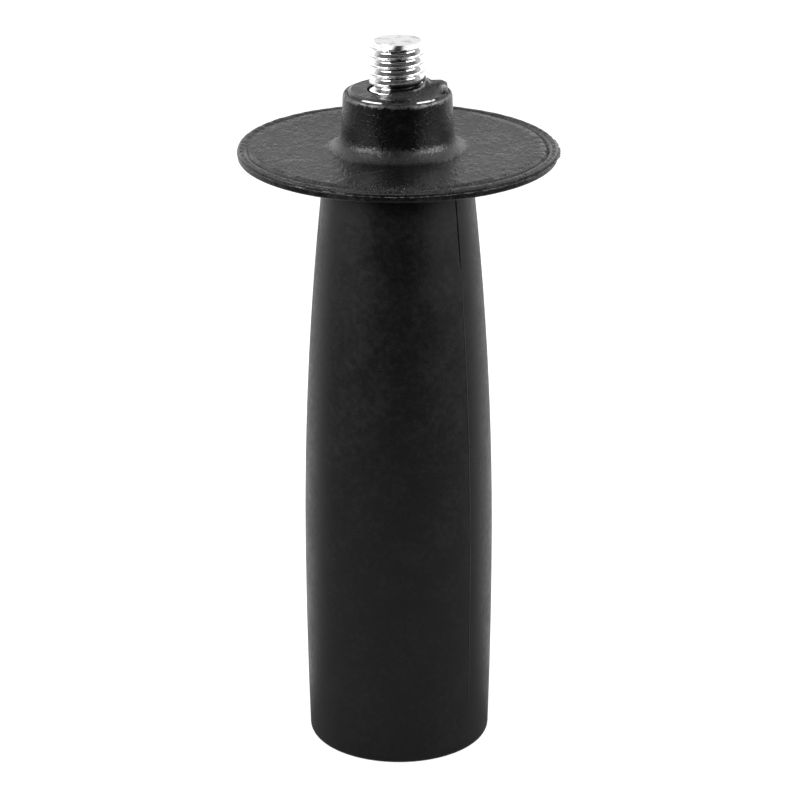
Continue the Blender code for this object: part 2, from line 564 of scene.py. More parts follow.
def run(first: Point, last: Point, steps: int) -> list[Point]:
    """Points along a straight line, without its first one.

    Args:
        first: Where the line starts.
        last: Where it ends.
        steps: How many stretches it has.

    Returns:
        (radius, height) of each point.
    """
    out = last[0] - first[0]
    up = last[1] - first[1]
    shares = [step / steps for step in range(1, steps + 1)]
    return [(first[0] + out * share, first[1] + up * share) for share in shares]


def plain_rings(points: Iterable[Point]) -> list[Ring]:
    """Rings that nothing moves, from their radius and height."""
    return [Ring(*point) for point in points]


def turned_solid(name: str, outline: Iterable[Point], columns: int) -> bpy.types.Object:
    """Turn an outline into a closed solid with plain facets.

    Args:
        name: The object's name.
        outline: (radius, height) of each ring, upwards, with a flat cap at both ends.
        columns: How many facets go round.

    Returns:
        The solid.
    """
    mesh = bmesh.new()
    last: list[bmesh.types.BMVert] = []
    for radius, height in outline:
        angles = [FULL_TURN * column / columns for column in range(columns)]
        reach = radius * MM
        places = [(reach * math.cos(angle), reach * math.sin(angle), height * MM) for angle in angles]
        ring = [mesh.verts.new(place) for place in places]
        for column in range(columns if last else 0):
            after = (column + 1) % columns
            mesh.faces.new((last[column], last[after], ring[after], ring[column]))
        if not last:
            mesh.faces.new(list(reversed(ring)))
        last = ring
    mesh.faces.new(last)
    data = bpy.data.meshes.new(name)
    mesh.to_mesh(data)
    mesh.free()
    return linked(name, data)


def combine(piece: bpy.types.Object, tool: bpy.types.Object, how: Cut) -> bpy.types.Object:
    """Change one closed solid by another, which is then removed.

    Args:
        piece: The solid that stays.
        tool: The solid that is used up.
        how: What is kept.

    Returns:
        The changed piece, as a plain mesh.
    """
    modifier = piece.modifiers.new(tool.name, "BOOLEAN")
    modifier.operation = how.value
    modifier.object = tool
    plain(piece)
    bpy.data.objects.remove(tool)
    mesh = bmesh.new()
    mesh.from_mesh(piece.data)
    bmesh.ops.remove_doubles(mesh, verts=mesh.verts, dist=WELD_DISTANCE)
    bmesh.ops.dissolve_degenerate(mesh, edges=mesh.edges, dist=WELD_DISTANCE / 2)
    mesh.to_mesh(piece.data)
    mesh.free()
    return piece


def hand_over(piece: bpy.types.Object, node: str) -> None:
    """Tell the frame what a finished piece is.

    Args:
        piece: The finished piece.
        node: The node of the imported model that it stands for.
    """
    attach(piece, BODY)
    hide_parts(node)
    log.info("%s: %d faces, in place of %s", piece.name, len(piece.data.polygons), node)


class FinishBoard(Board):
    """A material's node tree, with the Principled shader that its finish feeds."""

    def __init__(self, name: str, constants: dict[str, Any]) -> None:
        """Start a material.

        Args:
            name: Its name.
            constants: The shader's values that are the same all over the surface.
        """
        self.material = bpy.data.materials.new(name)
        self.material.use_nodes = True
        super().__init__(self.material.node_tree)
        self.shader = self.tree.nodes["Principled BSDF"]
        for socket, value in constants.items():
            self.shader.inputs[socket].default_value = value
        self.place = self.node("ShaderNodeTexCoord", {}, {}, "Object") * (1 / MM)

    @cached_property
    def height(self) -> Term:
        """Height above the floor."""
        return self.place.part("Z")

    @cached_property
    def radius(self) -> Term:
        """Distance from the axis."""
        return (self.place * LEVEL).length()

    def feed(self, socket: str, value: Term) -> None:
        """Link a value that changes over the surface to the shader."""
        self.tree.links.new(value.socket, self.shader.inputs[socket])

    def bump(self, height: Term) -> None:
        """Feed the shader's normal from a height in millimetres."""
        self.feed("Normal", self.node("ShaderNodeBump", {}, {"Distance": MM, "Height": height}))

    def mark(self, start: Point, end: Point, width: float) -> Term:
        """A straight scratch on a level face.

        Args:
            start: Where it starts, as x and y.
            end: Where it ends.
            width: How wide it is.

        Returns:
            1 along its middle and 0 outside it.
        """
        first = Vector((*start, 0.0))
        line = Vector((*end, 0.0)) - first
        offset = self.place * LEVEL - tuple(first)
        share = offset.dot(tuple(line / line.length_squared)).at_least(0.0).at_most(1.0)
        gap = (offset - self.vector(share * line.x, share * line.y, 0.0)).length()
        return self.step(gap, width / 2, width / 4)


@dataclass(frozen=True)
class Skin:
    """What the rules of the moulding's skin read at each of its points.

    Attributes:
        tree: The tree that turns the profile.
        grid: The grid that it is turned on.
        angle: Each point's angle round the axis.
        around: The level direction from the axis to each point.
        parting: The parting line's angle.
        seed: Seed of the noise.
    """

    tree: GeometryTree
    grid: TurnedGrid
    angle: Term
    around: Term
    parting: Term
    seed: Term


@dataclass(frozen=True)
class GrainedPlastic:
    """Black moulded plastic: matt on the grip, wrinkled and shinier on the guard and the boss.

    Attributes:
        black: Colour of clean, smooth plastic on the guard and the boss.
        grip_black: Colour of the matt grip.
        dusty: Colour where it is scuffed or dusty.
        grip_roughness: Roughness of the grip.
        guard_roughness: Roughness of the guard's top.
        boss_roughness: Roughness of the boss.
        torn_roughness: Roughness of torn plastic.
        polish_roughness: Roughness of the collar's leaning wall.
        polish_ior: How strongly that wall mirrors, as a refractive index.
        coat_roughness: Roughness of the shine on that wall.
        ior: Refractive index of the plastic.
        grain_scale: Grains to a millimetre.
        grain_height: Height of the grain.
        wrinkle_scale: Wrinkles to a millimetre.
        wrinkle_draw: How much finer the wrinkles are across the mould's parting direction.
        wrinkle_height: Height of the wrinkles.
        wear_and_highlight: Lighter colour of the scratches, of the flash and of the band on the boss's
            shoulder: wear, and on the band and the flash also a painted highlight.
        fray_and_highlight: Colour of the torn collar's edges: whitened torn plastic with painted
            highlights.
    """

    black: Colour = (0.002, 0.002, 0.002, 1.0)
    grip_black: Colour = (0.0032, 0.0032, 0.0033, 1.0)
    dusty: Colour = (0.03, 0.03, 0.031, 1.0)
    grip_roughness: float = 0.38
    guard_roughness: float = 0.3
    boss_roughness: float = 0.23
    torn_roughness: float = 0.5
    polish_roughness: float = 0.1
    polish_ior: float = 1.85
    coat_roughness: float = 0.07
    ior: float = 1.48
    grain_scale: float = 5.0
    grain_height: float = 0.011
    wrinkle_scale: float = 1.9
    wrinkle_draw: float = 0.4
    wrinkle_height: float = 0.12
    wear_and_highlight: Colour = (0.1, 0.1, 0.1, 1.0)
    fray_and_highlight: Colour = (0.34, 0.34, 0.34, 1.0)

    def material(self, shape: "GripMoulding") -> bpy.types.Material:
        """Make the finish.

        Args:
            shape: The moulding, whose sizes say where each surface is.

        Returns:
            The material.
        """
        constants = {"IOR": self.ior, "Coat IOR": self.polish_ior, "Coat Roughness": self.coat_roughness}
        board = FinishBoard("black_plastic_looks", constants)
        place = board.place
        height = board.height
        radius = board.radius
        on_guard = board.step(height, shape.grip_length - 0.2, shape.grip_length + 0.2)
        on_top = board.step(height, shape.guard_top - 0.3, shape.guard_top - 0.15)
        on_rim = board.step(radius, shape.bead_inner - 0.4, shape.bead_inner) * on_guard
        on_boss = board.step(radius, shape.fillet_outer - 0.6, shape.boss_foot_radius + 0.3) * on_top
        on_wall = board.step(height, shape.guard_top + 1.3, shape.guard_top + 2.6) * on_boss
        on_wall = on_wall * board.step(radius, shape.land_radius - 0.05, shape.land_radius)
        on_polish = self.polish_share(board, shape)
        torn = self.torn_share(board, shape)

        blotch = board.noise(place, 0.22, 3.0, 1.0)
        speck = board.noise(place, 1.3, 3.0, 2.0)
        grain = board.noise(place, self.grain_scale, 2.0, 3.0)
        draw = board.mix(on_top * (1.0 - on_boss), 1.0, self.wrinkle_draw)
        wrinkle = board.noise(place * board.vector(1.0, draw, 1.0), self.wrinkle_scale, 3.0, 4.0, 0.8)

        dust = board.step(blotch * 0.5 + speck * 0.5, 0.46, 0.66)
        dust = (dust * (0.06 + on_rim * 0.4) + torn * 0.3).at_most(1.0)
        colour = board.mix(dust, board.mix(on_guard, self.grip_black, self.black), self.dusty)
        # Painted shade: the parting line's groove is coloured darker than the plastic round it
        colour = board.mix(self.painted_parting_shade(board, shape), colour, GROOVE_SHADE_BLACK)
        scratches = self.scratches(board, shape) * on_top
        # The shoulder band is painted lighter as a scuff with a painted highlight, which fades at the front
        # where no light falls
        wear_and_highlight = self.scuff_and_highlight_share(board, shape).at_least(self.flash_and_highlight_share(board, shape))
        colour = board.mix(wear_and_highlight.at_least(scratches * 0.3), colour, self.wear_and_highlight)
        # Painted highlights, with whitened plastic, on the torn collar's edges
        colour = board.mix(self.fray_and_highlight_share(board, shape) * torn, colour, self.fray_and_highlight)
        board.feed("Base Color", colour)

        rough = board.mix(on_guard, self.grip_roughness, self.guard_roughness)
        rough = board.mix(on_wall, rough, self.boss_roughness)
        rough = rough + (speck - 0.5) * 0.3 + (blotch - 0.5) * 0.2
        on_slope = board.step(radius, shape.land_radius, shape.land_radius + 0.04) * on_boss
        on_slope = on_slope * board.step(radius, shape.brim_radius + 0.06, shape.brim_radius)
        rough = board.mix(on_polish.at_least(on_slope), rough, self.polish_roughness)
        rough = board.mix(torn, rough, self.torn_roughness)
        board.feed("Roughness", rough)
        board.feed("Coat Weight", on_polish * board.step(speck, 0.3, 0.6))

        wrinkled = (0.06 + on_guard * 0.94) * (1.0 - on_wall * 0.2)
        ups = grain * self.grain_height + wrinkle * wrinkled * self.wrinkle_height
        ups = ups * (1.0 - on_polish * 0.9) - scratches * shape.scratch_depth
        board.bump(ups)
        return board.material

    def polish_share(self, board: FinishBoard, shape: "GripMoulding") -> Term:
        """Where the collar's leaning wall is polished.

        Args:
            board: The material's board.
            shape: The moulding.

        Returns:
            1 on the wall and 0 elsewhere.
        """
        inside = board.step(board.radius, shape.collar_radius + 0.06, shape.collar_radius + 0.02)
        outside = board.step(board.radius, shape.brim_radius - 0.04, shape.brim_radius)
        above = board.step(board.height, shape.shoulder_top - 0.27, shape.shoulder_top - 0.22)
        below = board.step(board.height, shape.shoulder_top - 0.02, shape.shoulder_top - 0.08)
        return inside * outside * above * below

    def torn_share(self, board: FinishBoard, shape: "GripMoulding") -> Term:
        """Where the plastic round the bolt is torn up.

        Args:
            board: The material's board.
            shape: The moulding.

        Returns:
            1 on the torn slope and 0 elsewhere.
        """
        above = board.step(board.height, shape.collar_top + 0.02, shape.collar_top + 0.2)
        return above * board.step(board.radius, shape.collar_radius, shape.collar_radius - 0.2)

    def fray_and_highlight_share(self, board: FinishBoard, shape: "GripMoulding") -> Term:
        """Where the torn plastic is painted lighter, as whitened plastic with painted highlights: along its
        crest, at the spike, along the lip round the bolt and at its outer end.

        Args:
            board: The material's board.
            shape: The moulding.

        Returns:
            1 on whitened plastic and 0 elsewhere.
        """
        across = board.place.part("X")
        along = board.place.part("Y")
        wander = (board.noise(board.place, 1.4, 3.0, 14.0) - 0.5) * 0.7
        line = board.step(abs(along - shape.tear_crest + wander), 0.22, 0.04)
        line = line * board.step(across, 2.2, 3.4)
        broken = board.step(board.noise(board.place, 1.1, 3.0, 15.0), 0.4, 0.6)
        lip = board.step(board.radius, shape.pocket_radius + 0.43, shape.pocket_radius + 0.18)
        lip = lip * board.step(across, 1.4, 2.8)
        line = line.at_least(lip * board.step(along, shape.tear_crest + 0.6, shape.tear_crest))
        outer = board.step(across + wander * 1.6, 5.8, 6.3) * board.step(along, -0.6, -1.1)
        outer = outer * (0.3 + broken * 0.7)
        raised = board.step(board.height, shape.collar_top + 0.1, shape.collar_top + 0.3)
        return (line * broken * 0.7).at_least(outer) * raised

    def scuff_and_highlight_share(self, board: FinishBoard, shape: "GripMoulding") -> Term:
        """Where the boss's shoulder is painted lighter, in a ragged band that fades at the front: scuffed
        plastic with a painted highlight of the side lights.

        Args:
            board: The material's board.
            shape: The moulding.

        Returns:
            1 in the band and 0 elsewhere.
        """
        ragged = (board.noise(board.place, 2.2, 3.0, 9.0) - 0.5) * 1.1
        low = board.step(board.height + ragged, shape.shoulder_top - 0.8, shape.shoulder_top - 0.6)
        high = board.step(board.height, shape.shoulder_top - 0.2, shape.shoulder_top - 0.35)
        outside = board.step(board.radius, shape.crevice_outer - 0.04, shape.crevice_outer + 0.02)
        sides = 0.25 + board.step(abs(board.place.part("X")), 1.0, 3.5) * 0.75
        broken = board.step(board.noise(board.place, 1.1, 2.0, 10.0), 0.35, 0.55)
        return low * high * outside * sides * broken

    def flash_and_highlight_share(self, board: FinishBoard, shape: "GripMoulding") -> Term:
        """Where the flash round the guard's rim is painted lighter: whitened flash with a painted
        highlight.

        Args:
            board: The material's board.
            shape: The moulding.

        Returns:
            1 on whitened flash and 0 elsewhere.
        """
        # The flash's outer edge is painted lighter: whitened flash with a painted highlight
        edge = board.step(board.radius, shape.guard_radius + 0.02, shape.guard_radius + 0.12)
        return edge * board.step(board.noise(board.place, 1.6, 3.0, 12.0), 0.45, 0.65)

    def painted_parting_shade(self, board: FinishBoard, shape: "GripMoulding") -> Term:
        """Painted shade in the groove up the neck where the two halves of the mould met.

        Args:
            board: The material's board.
            shape: The moulding.

        Returns:
            1 in the groove and 0 elsewhere.
        """
        angle = math.radians(shape.parting_angle)
        gap = abs(board.place.dot((math.sin(angle), -math.cos(angle), 0.0)))
        line = board.step(gap, shape.parting_width / 2, shape.parting_width / 4)
        grooved = board.step(board.height, shape.parting_turn - 4.0, shape.parting_turn + 4.0)
        below = board.step(board.height, shape.grip_length - 1.2, shape.grip_length - 1.8)
        return line * grooved * below

    def scratches(self, board: FinishBoard, shape: "GripMoulding") -> Term:
        """The scratches on the guard's top, as a share of their depth."""
        lines = zip(shape.scratch, shape.scratch[1:])
        return reduce(Term.at_least, [board.mark(*line, shape.scratch_width) for line in lines])


@dataclass(frozen=True)
class PlatedSteel:
    """Bright plated steel with fine rolling lines and small dull patches.

    Attributes:
        bright: Colour of clean plating.
        dull: Colour of the dull patches.
        roughness: Roughness of clean plating.
        dull_roughness: Roughness of the dull patches.
        line_scale: Rolling lines to a millimetre, along the bolt.
        line_height: Height of the lines.
        thread_black_colour: Colour of the matt black band in the thread's last groove.
        thread_black_top: Height of that band's top at the front.
        thread_black_pitch: How far its top climbs in a turn.
        thread_black_from: Angle where it starts.
        thread_black_to: Angle where it ends.
        thread_black_roughness: Roughness of that band.
    """

    bright: Colour = (0.9, 0.9, 0.9, 1.0)
    dull: Colour = (0.68, 0.68, 0.69, 1.0)
    roughness: float = 0.12
    dull_roughness: float = 0.3
    line_scale: float = 9.0
    line_height: float = 0.0012
    thread_black_colour: Colour = (0.003, 0.003, 0.003, 1.0)
    thread_black_top: float = 98.64
    thread_black_pitch: float = 1.25
    thread_black_from: float = -112.0
    thread_black_to: float = 3.0
    thread_black_roughness: float = 0.4

    def material(self) -> bpy.types.Material:
        """Make the finish.

        Returns:
            The material.
        """
        board = FinishBoard("plated_steel_looks", {})
        place = board.place
        patches = board.step(board.noise(place, 1.1, 4.0, 7.0), 0.54, 0.72)
        lines = board.noise(place * Vector((0.4, 0.4, 1.0)), self.line_scale, 2.0, 8.0)
        colour = board.mix(patches, self.bright, self.dull)
        rough = board.mix(patches, self.roughness, self.dull_roughness)
        # The thread's last groove above the torn lip is coloured matt black, not metal, and rougher
        thread_black = self.thread_black_share(board)
        board.feed("Base Color", board.mix(thread_black, colour, self.thread_black_colour))
        board.feed("Metallic", 1.0 - thread_black)
        board.feed("Roughness", board.mix(thread_black, rough, self.thread_black_roughness))
        board.bump(lines * self.line_height)
        return board.material

    def thread_black_share(self, board: FinishBoard) -> Term:
        """Where the thread's last groove above the torn lip is coloured matt black and not metal.

        Args:
            board: The material's board.

        Returns:
            1 on that black band and 0 elsewhere.
        """
        angle = board.maths("ARCTAN2", board.place.part("Y"), board.place.part("X"))
        start = math.radians(self.thread_black_from)
        end = math.radians(self.thread_black_to)
        around = board.step(angle, start, start + 0.1) * board.step(angle, end, end - 0.1)
        top = (angle + math.pi / 2) * (self.thread_black_pitch / FULL_TURN) + self.thread_black_top
        return around * board.step(board.height - top, 0.03, -0.03)


@dataclass(frozen=True)
class GripMoulding:
    """The black moulding: grip, hand guard and boss, with the torn collar round the bolt.

    Heights count from the butt, and angles round the axis from +X towards +Y, with the
    photographer at -90.

    Attributes:
        grip_length: Height of the guard's underside, where the grip ends.
        butt_radius: Radius of the grip at the butt.
        belly_radius: Its greatest radius.
        belly_height: Height of its greatest radius.
        neck_radius: Its radius under the guard.
        butt_edge_radius: Radius of the butt's round edge.
        neck_fillet_radius: Radius of the fillet under the guard.
        side_rings: How many rings the grip's side has.
        guard_radius: Radius of the hand guard.
        guard_thickness: Its thickness.
        rim_edge_radius: Radius of the rim's two round edges.
        bead_rise: How far the rim's bead stands above the guard's top.
        bead_width: Width of the bead.
        groove_width: Width of the groove inside the bead.
        groove_depth: Its depth at the sides.
        groove_front_share: The share of that depth at the front.
        groove_back_share: The share of it at the back.
        warp_lift: How far the guard's rim is bent up all round.
        warp_rise: How much further its highest side is bent up.
        warp_angle: Angle of that side.
        rim_unevenness: Height of the lumps on the rim.
        flash_height: Height of the flash's middle.
        flash_thickness: Thickness of the flash.
        flash_reach_low: How far it stands out on the left.
        flash_reach_high: How far it stands out on the right.
        flash_wave: How far it waves up and down.
        boss_height: How far the boss's shoulder lies above the guard's top.
        boss_foot_radius: Radius of the boss at its foot.
        boss_top_radius: Radius of the boss at its shoulder.
        boss_fillet_radius: Radius of the fillet round its foot.
        shoulder_radius: Radius of its round shoulder.
        crevice_outer: Radius of the outer side of the crevice inside the shoulder.
        crevice_radius: Radius of the crevice's bottom.
        crevice_drop: Its depth below the shoulder.
        collar_radius: Radius of the foot of the collar's leaning wall.
        collar_height: How far the collar's land lies above the shoulder.
        brim_radius: Radius of the top of the leaning wall.
        land_radius: Radius of the level land.
        land_lip: How far the land's outer edge stands up.
        mouth_edge: Width of the chamfer round the bolt's hole.
        mouth_depth: How far down the hole's wall follows the land.
        tear_from: Angle where the torn plastic starts.
        tear_to: Angle where it ends.
        tear_start_blend: Angle over which it rises at its start.
        tear_end_blend: Angle over which it falls at its end.
        tear_rise_high: How far the torn lip beside the bolt stands up.
        tear_outer_rise: How far the torn part's outer edge stands up.
        tear_crest: Where the crest runs across, as y.
        tear_crest_rise: How far the crest stands up.
        tear_crest_jags: Height of its jags.
        tear_crest_width: Width of its steep back.
        tear_crest_raggedness: How far it wanders to and fro.
        tear_hollow: Depth of the hollow behind it.
        tear_spike: Place of the spike, as x and y.
        tear_spike_width: How far the spike's foot reaches.
        tear_spike_rise: Its height.
        tear_unevenness: Height of the streaks and crumbs on the torn plastic.
        pocket_radius: Radius of the hole round the bolt's shank.
        head_across_flats: Width of the pocket round the bolt's head.
        head_top: Height of that pocket's top.
        head_bottom: Height of its floor.
        parting_angle: Angle of the line where the mould's halves met.
        parting_width: Width of that line.
        parting_groove: Its depth on the neck, where it is a groove.
        parting_ridge: Its height below, where it is a ridge.
        parting_turn: Height where the one turns into the other.
        crowding: How strongly the mesh's columns crowd towards that line.
        scratch: The scratch on the guard's top, as points of x and y.
        scratch_width: Its width.
        scratch_depth: Its depth.
        columns: Columns of the mesh.
        seed: Seed of the noise.
        sharp_angle: The angle from which an edge is sharp.
        finish: The moulding's finish.
    """

    grip_length: float = 87.3
    butt_radius: float = 13.07
    belly_radius: float = 13.51
    belly_height: float = 29.2
    neck_radius: float = 10.14
    butt_edge_radius: float = 1.0
    neck_fillet_radius: float = 0.8
    side_rings: int = 46

    guard_radius: float = 22.2
    guard_thickness: float = 1.4
    rim_edge_radius: float = 0.35
    bead_rise: float = 0.06
    bead_width: float = 1.25
    groove_width: float = 1.05
    groove_depth: float = 0.42
    groove_front_share: float = 0.32
    groove_back_share: float = 0.06
    warp_lift: float = 0.13
    warp_rise: float = 0.22
    warp_angle: float = 105.0
    rim_unevenness: float = 0.1

    flash_height: float = 88.2
    flash_thickness: float = 0.16
    flash_reach_low: float = 0.1
    flash_reach_high: float = 0.45
    flash_wave: float = 0.1

    boss_height: float = 8.15
    boss_foot_radius: float = 7.82
    boss_top_radius: float = 7.58
    boss_fillet_radius: float = 2.3
    shoulder_radius: float = 0.75
    crevice_outer: float = 7.31
    crevice_radius: float = 7.15
    crevice_drop: float = 0.35
    collar_radius: float = 6.98
    collar_height: float = 0.2
    brim_radius: float = 6.86
    land_radius: float = 6.44
    land_lip: float = 0.02

    mouth_edge: float = 0.04
    mouth_depth: float = 1.0
    tear_from: float = -118.0
    tear_to: float = 48.0
    tear_start_blend: float = 28.0
    tear_end_blend: float = 33.0
    tear_rise_high: float = 1.3
    tear_outer_rise: float = 0.85
    tear_crest: float = -1.9
    tear_crest_rise: float = 1.3
    tear_crest_jags: float = 0.6
    tear_crest_width: float = 0.25
    tear_crest_raggedness: float = 0.4
    tear_hollow: float = 0.35
    tear_spike: Point = (3.9, -1.85)
    tear_spike_width: float = 0.9
    tear_spike_rise: float = 0.75
    tear_unevenness: float = 0.18

    pocket_radius: float = 4.22
    head_across_flats: float = 13.6
    head_top: float = 79.2
    head_bottom: float = 73.3

    parting_angle: float = -41.6
    parting_width: float = 0.32
    parting_groove: float = 0.16
    parting_ridge: float = 0.07
    parting_turn: float = 73.0
    crowding: float = 0.6

    scratch: tuple[Point, ...] = ((-7.9, -15.6), (-5.3, -13.4), (-1.8, -11.4))
    scratch_width: float = 0.22
    scratch_depth: float = 0.03

    columns: int = 576
    seed: int = 11
    sharp_angle: float = 50.0
    finish: GrainedPlastic = GrainedPlastic()

    @property
    def guard_top(self) -> float:
        """Height of the guard's flat top."""
        return self.grip_length + self.guard_thickness

    @property
    def shoulder_top(self) -> float:
        """Height of the top of the boss's round shoulder."""
        return self.guard_top + self.boss_height

    @property
    def collar_top(self) -> float:
        """Height of the collar's level land."""
        return self.shoulder_top + self.collar_height

    @property
    def bead_inner(self) -> float:
        """Radius of the inner side of the rim's bead."""
        return self.guard_radius - self.bead_width

    @property
    def fillet_outer(self) -> float:
        """Radius at which the boss's fillet meets the guard."""
        return self.boss_foot_radius + self.boss_fillet_radius

    def make(self) -> bpy.types.Object:
        """Make the moulding, dress it and hand it over.

        Returns:
            The finished piece.
        """
        rings = self.rings()
        tree = self.skin_tree(len(rings))
        piece = tree.piece("moulded_grip", profile_mesh("grip_profile", rings))
        smooth(piece, self.sharp_angle)
        hand_over(piece, MOULDING_NODE)
        return piece

    def rings(self) -> list[Ring]:
        """Every ring, from the middle of the butt up the outside and down the pocket."""
        outside = self.grip_rings() + self.rim_rings() + self.guard_rings() + self.boss_rings()
        return outside + self.collar_rings() + self.pocket_rings()

    def barrel_radius(self, height: float) -> float:
        """Radius of the grip: two long arcs that meet at the belly.

        Args:
            height: Height above the butt.

        Returns:
            The radius there.
        """
        if height < self.belly_height:
            reach = self.belly_height
            drop = self.belly_radius - self.butt_radius
        else:
            reach = self.grip_length - self.belly_height
            drop = self.belly_radius - self.neck_radius
        bow = (reach**2 + drop**2) / (2 * drop)
        return self.belly_radius - bow + math.sqrt(bow**2 - (height - self.belly_height) ** 2)

    def grip_rings(self) -> list[Ring]:
        """The butt, its round edge, the grip's side and the fillet under the guard.

        Returns:
            The rings, upwards.
        """
        edge = self.barrel_radius(self.butt_edge_radius) - self.butt_edge_radius
        butt = arc((edge, self.butt_edge_radius), self.butt_edge_radius, -90, 0, 7)
        rings = plain_rings([(0.0, 0.0), (edge / 2, 0.0), *butt])
        side_top = self.grip_length - self.neck_fillet_radius
        for step in range(1, self.side_rings + 1):
            height = self.butt_edge_radius + (side_top - self.butt_edge_radius) * step / self.side_rings
            share = 0.0 if step == self.side_rings else 1.0
            rings.append(Ring(self.barrel_radius(height), height, {Trait.PARTING: share}))
        centre = (self.barrel_radius(side_top) + self.neck_fillet_radius, side_top)
        return rings + plain_rings(arc(centre, self.neck_fillet_radius, 180, 90, 6)[1:])

    def guard_ring(self, point: Point, rough: float, groove: float = 0.0) -> Ring:
        """A ring of the guard, which the warp moves more the further out it lies.

        Args:
            point: Its radius and height.
            rough: How uneven it is, from 0 to 1.
            groove: How deep it lies in the rim's groove, from 0 to 1.

        Returns:
            The ring.
        """
        inner = self.fillet_outer
        warp = max(0.0, (point[0] - inner) / (self.guard_radius - inner))
        return Ring(*point, {Trait.WARP: warp, Trait.ROUGH: rough, Trait.GROOVE: groove})

    def rim_rings(self) -> list[Ring]:
        """The guard's underside, its edge and the flash round it.

        Returns:
            The rings, outwards and upwards.
        """
        corner = self.guard_radius - self.rim_edge_radius
        inner = self.barrel_radius(self.grip_length) + 2 * self.neck_fillet_radius
        underside = run((inner, self.grip_length), (corner, self.grip_length), 5)
        rings = [self.guard_ring(point, 0.1) for point in underside]
        lower = arc((corner, self.grip_length + self.rim_edge_radius), self.rim_edge_radius, -90, 0, 4)[1:]
        rings += [self.guard_ring(point, 0.35) for point in lower]
        for share, offset in FLASH_SECTION:
            height = self.flash_height + offset * self.flash_thickness
            traits = {Trait.WARP: 1.0, Trait.FLASH: share, Trait.ROUGH: 0.2}
            rings.append(Ring(self.guard_radius, height, traits))
        return rings

    def guard_rings(self) -> list[Ring]:
        """The rim's bead and groove, and the guard's top in to the boss.

        Returns:
            The rings, inwards.
        """
        crest = self.guard_top + self.bead_rise
        corner = self.guard_radius - self.rim_edge_radius
        upper = arc((corner, crest - self.rim_edge_radius), self.rim_edge_radius, 10, 90, 5)
        rings = [self.guard_ring(point, 0.8) for point in upper]
        inner = self.bead_inner + self.groove_width / 2
        rings += [self.guard_ring(point, 1.0) for point in run((corner, crest), (inner, crest), 3)]
        middle = self.bead_inner
        for offset, rise, depth in GROOVE_SECTION:
            point = (middle + offset * self.groove_width, self.guard_top + rise * self.bead_rise)
            rings.append(self.guard_ring(point, 0.7, depth))
        first = (middle - 0.5 * self.groove_width, self.guard_top)
        top = run(first, (self.fillet_outer + 0.15, self.guard_top), 9)
        return rings + [self.guard_ring(point, 0.3) for point in top]

    def boss_rings(self) -> list[Ring]:
        """The fillet, the tapered wall, the round shoulder and the crevice inside it.

        Returns:
            The rings, upwards and down into the crevice.
        """
        lean = math.degrees(math.atan2(self.boss_foot_radius - self.boss_top_radius, self.boss_height))
        centre = (self.fillet_outer, self.guard_top + self.boss_fillet_radius)
        points = arc(centre, self.boss_fillet_radius, 270, 180 + lean, 14)
        shoulder = (self.boss_top_radius - self.shoulder_radius, self.shoulder_top - self.shoulder_radius)
        end = math.degrees(math.acos((self.crevice_outer - shoulder[0]) / self.shoulder_radius))
        round_edge = arc(shoulder, self.shoulder_radius, lean, end, 8)
        points += run(points[-1], round_edge[0], 8) + round_edge[1:]
        rings = [Ring(*point, {Trait.ROUGH: 0.12}) for point in points]
        rings.append(Ring(self.crevice_radius, self.shoulder_top - self.crevice_drop))
        return rings

    def inward_share(self, radius: float) -> float:
        """How far a radius lies from the land's outer edge, at 0, to the lip round the bolt, at 1."""
        return min(max((self.land_radius - radius) / (self.land_radius - self.pocket_radius), 0.0), 1.0)

    def collar_ring(self, radius: float, drop: float = 0.0, share: float = 1.0, floor: float = 0.0) -> Ring:
        """A ring that follows the collar's uneven top.

        Args:
            radius: Its radius.
            drop: How far it lies below the collar's top.
            share: How much it follows the collar's top.
            floor: The height that it keeps for the rest.

        Returns:
            The ring. Its height is the part that the collar's top doesn't give.
        """
        traits = {Trait.COLLAR: share, Trait.INWARD: self.inward_share(radius)}
        return Ring(radius, floor * (1 - share) - drop, traits)

    def collar_rings(self) -> list[Ring]:
        """The collar's leaning wall, its brim, the land and the hole's wall down to a plain ring.

        Returns:
            The rings, inwards and then down.
        """
        foot = self.shoulder_top - self.crevice_drop + 0.04
        rings = [Ring(self.collar_radius, foot)]
        for share in (0.3, 0.6, 0.85, 1.0):
            radius = self.collar_radius + (self.brim_radius - self.collar_radius) * share
            rings.append(self.collar_ring(radius, self.collar_height * share, share, foot))
        slope = run((self.brim_radius, self.collar_height), (self.land_radius + 0.05, 0.02), 5)
        rings += [self.collar_ring(radius, drop) for radius, drop in slope]
        rings.append(self.collar_ring(self.land_radius, -self.land_lip))
        rings.append(self.collar_ring(self.land_radius - 0.06, -self.land_lip))
        inner = self.pocket_radius + self.mouth_edge
        edge = self.land_radius - 0.12
        land = [edge] + [radius for radius, drop in run((edge, 0.0), (inner, 0.0), 16)]
        rings += [self.collar_ring(radius) for radius in land]
        floor = self.collar_top - self.mouth_depth
        rings.append(self.collar_ring(self.pocket_radius, self.mouth_edge))
        for share in (0.7, 0.35):
            rings.append(self.collar_ring(self.pocket_radius, 0.0, share, floor))
        rings.append(Ring(self.pocket_radius, floor))
        return rings

    def pocket_rings(self) -> list[Ring]:
        """The pocket that the bolt sits in: a round hole down to a hexagonal one.

        Returns:
            The rings, downwards.
        """
        corner = self.head_across_flats / 2 / math.cos(math.pi / 6)
        top = self.collar_top - self.mouth_depth
        hole = run((self.pocket_radius, top), (self.pocket_radius, self.head_top), 3)
        hexagon = {Trait.HEXAGON: 1.0}
        head = [Ring(corner, height, hexagon) for height in (self.head_top, self.head_bottom)]
        return plain_rings(hole) + head + [Ring(0.0, self.head_bottom)]

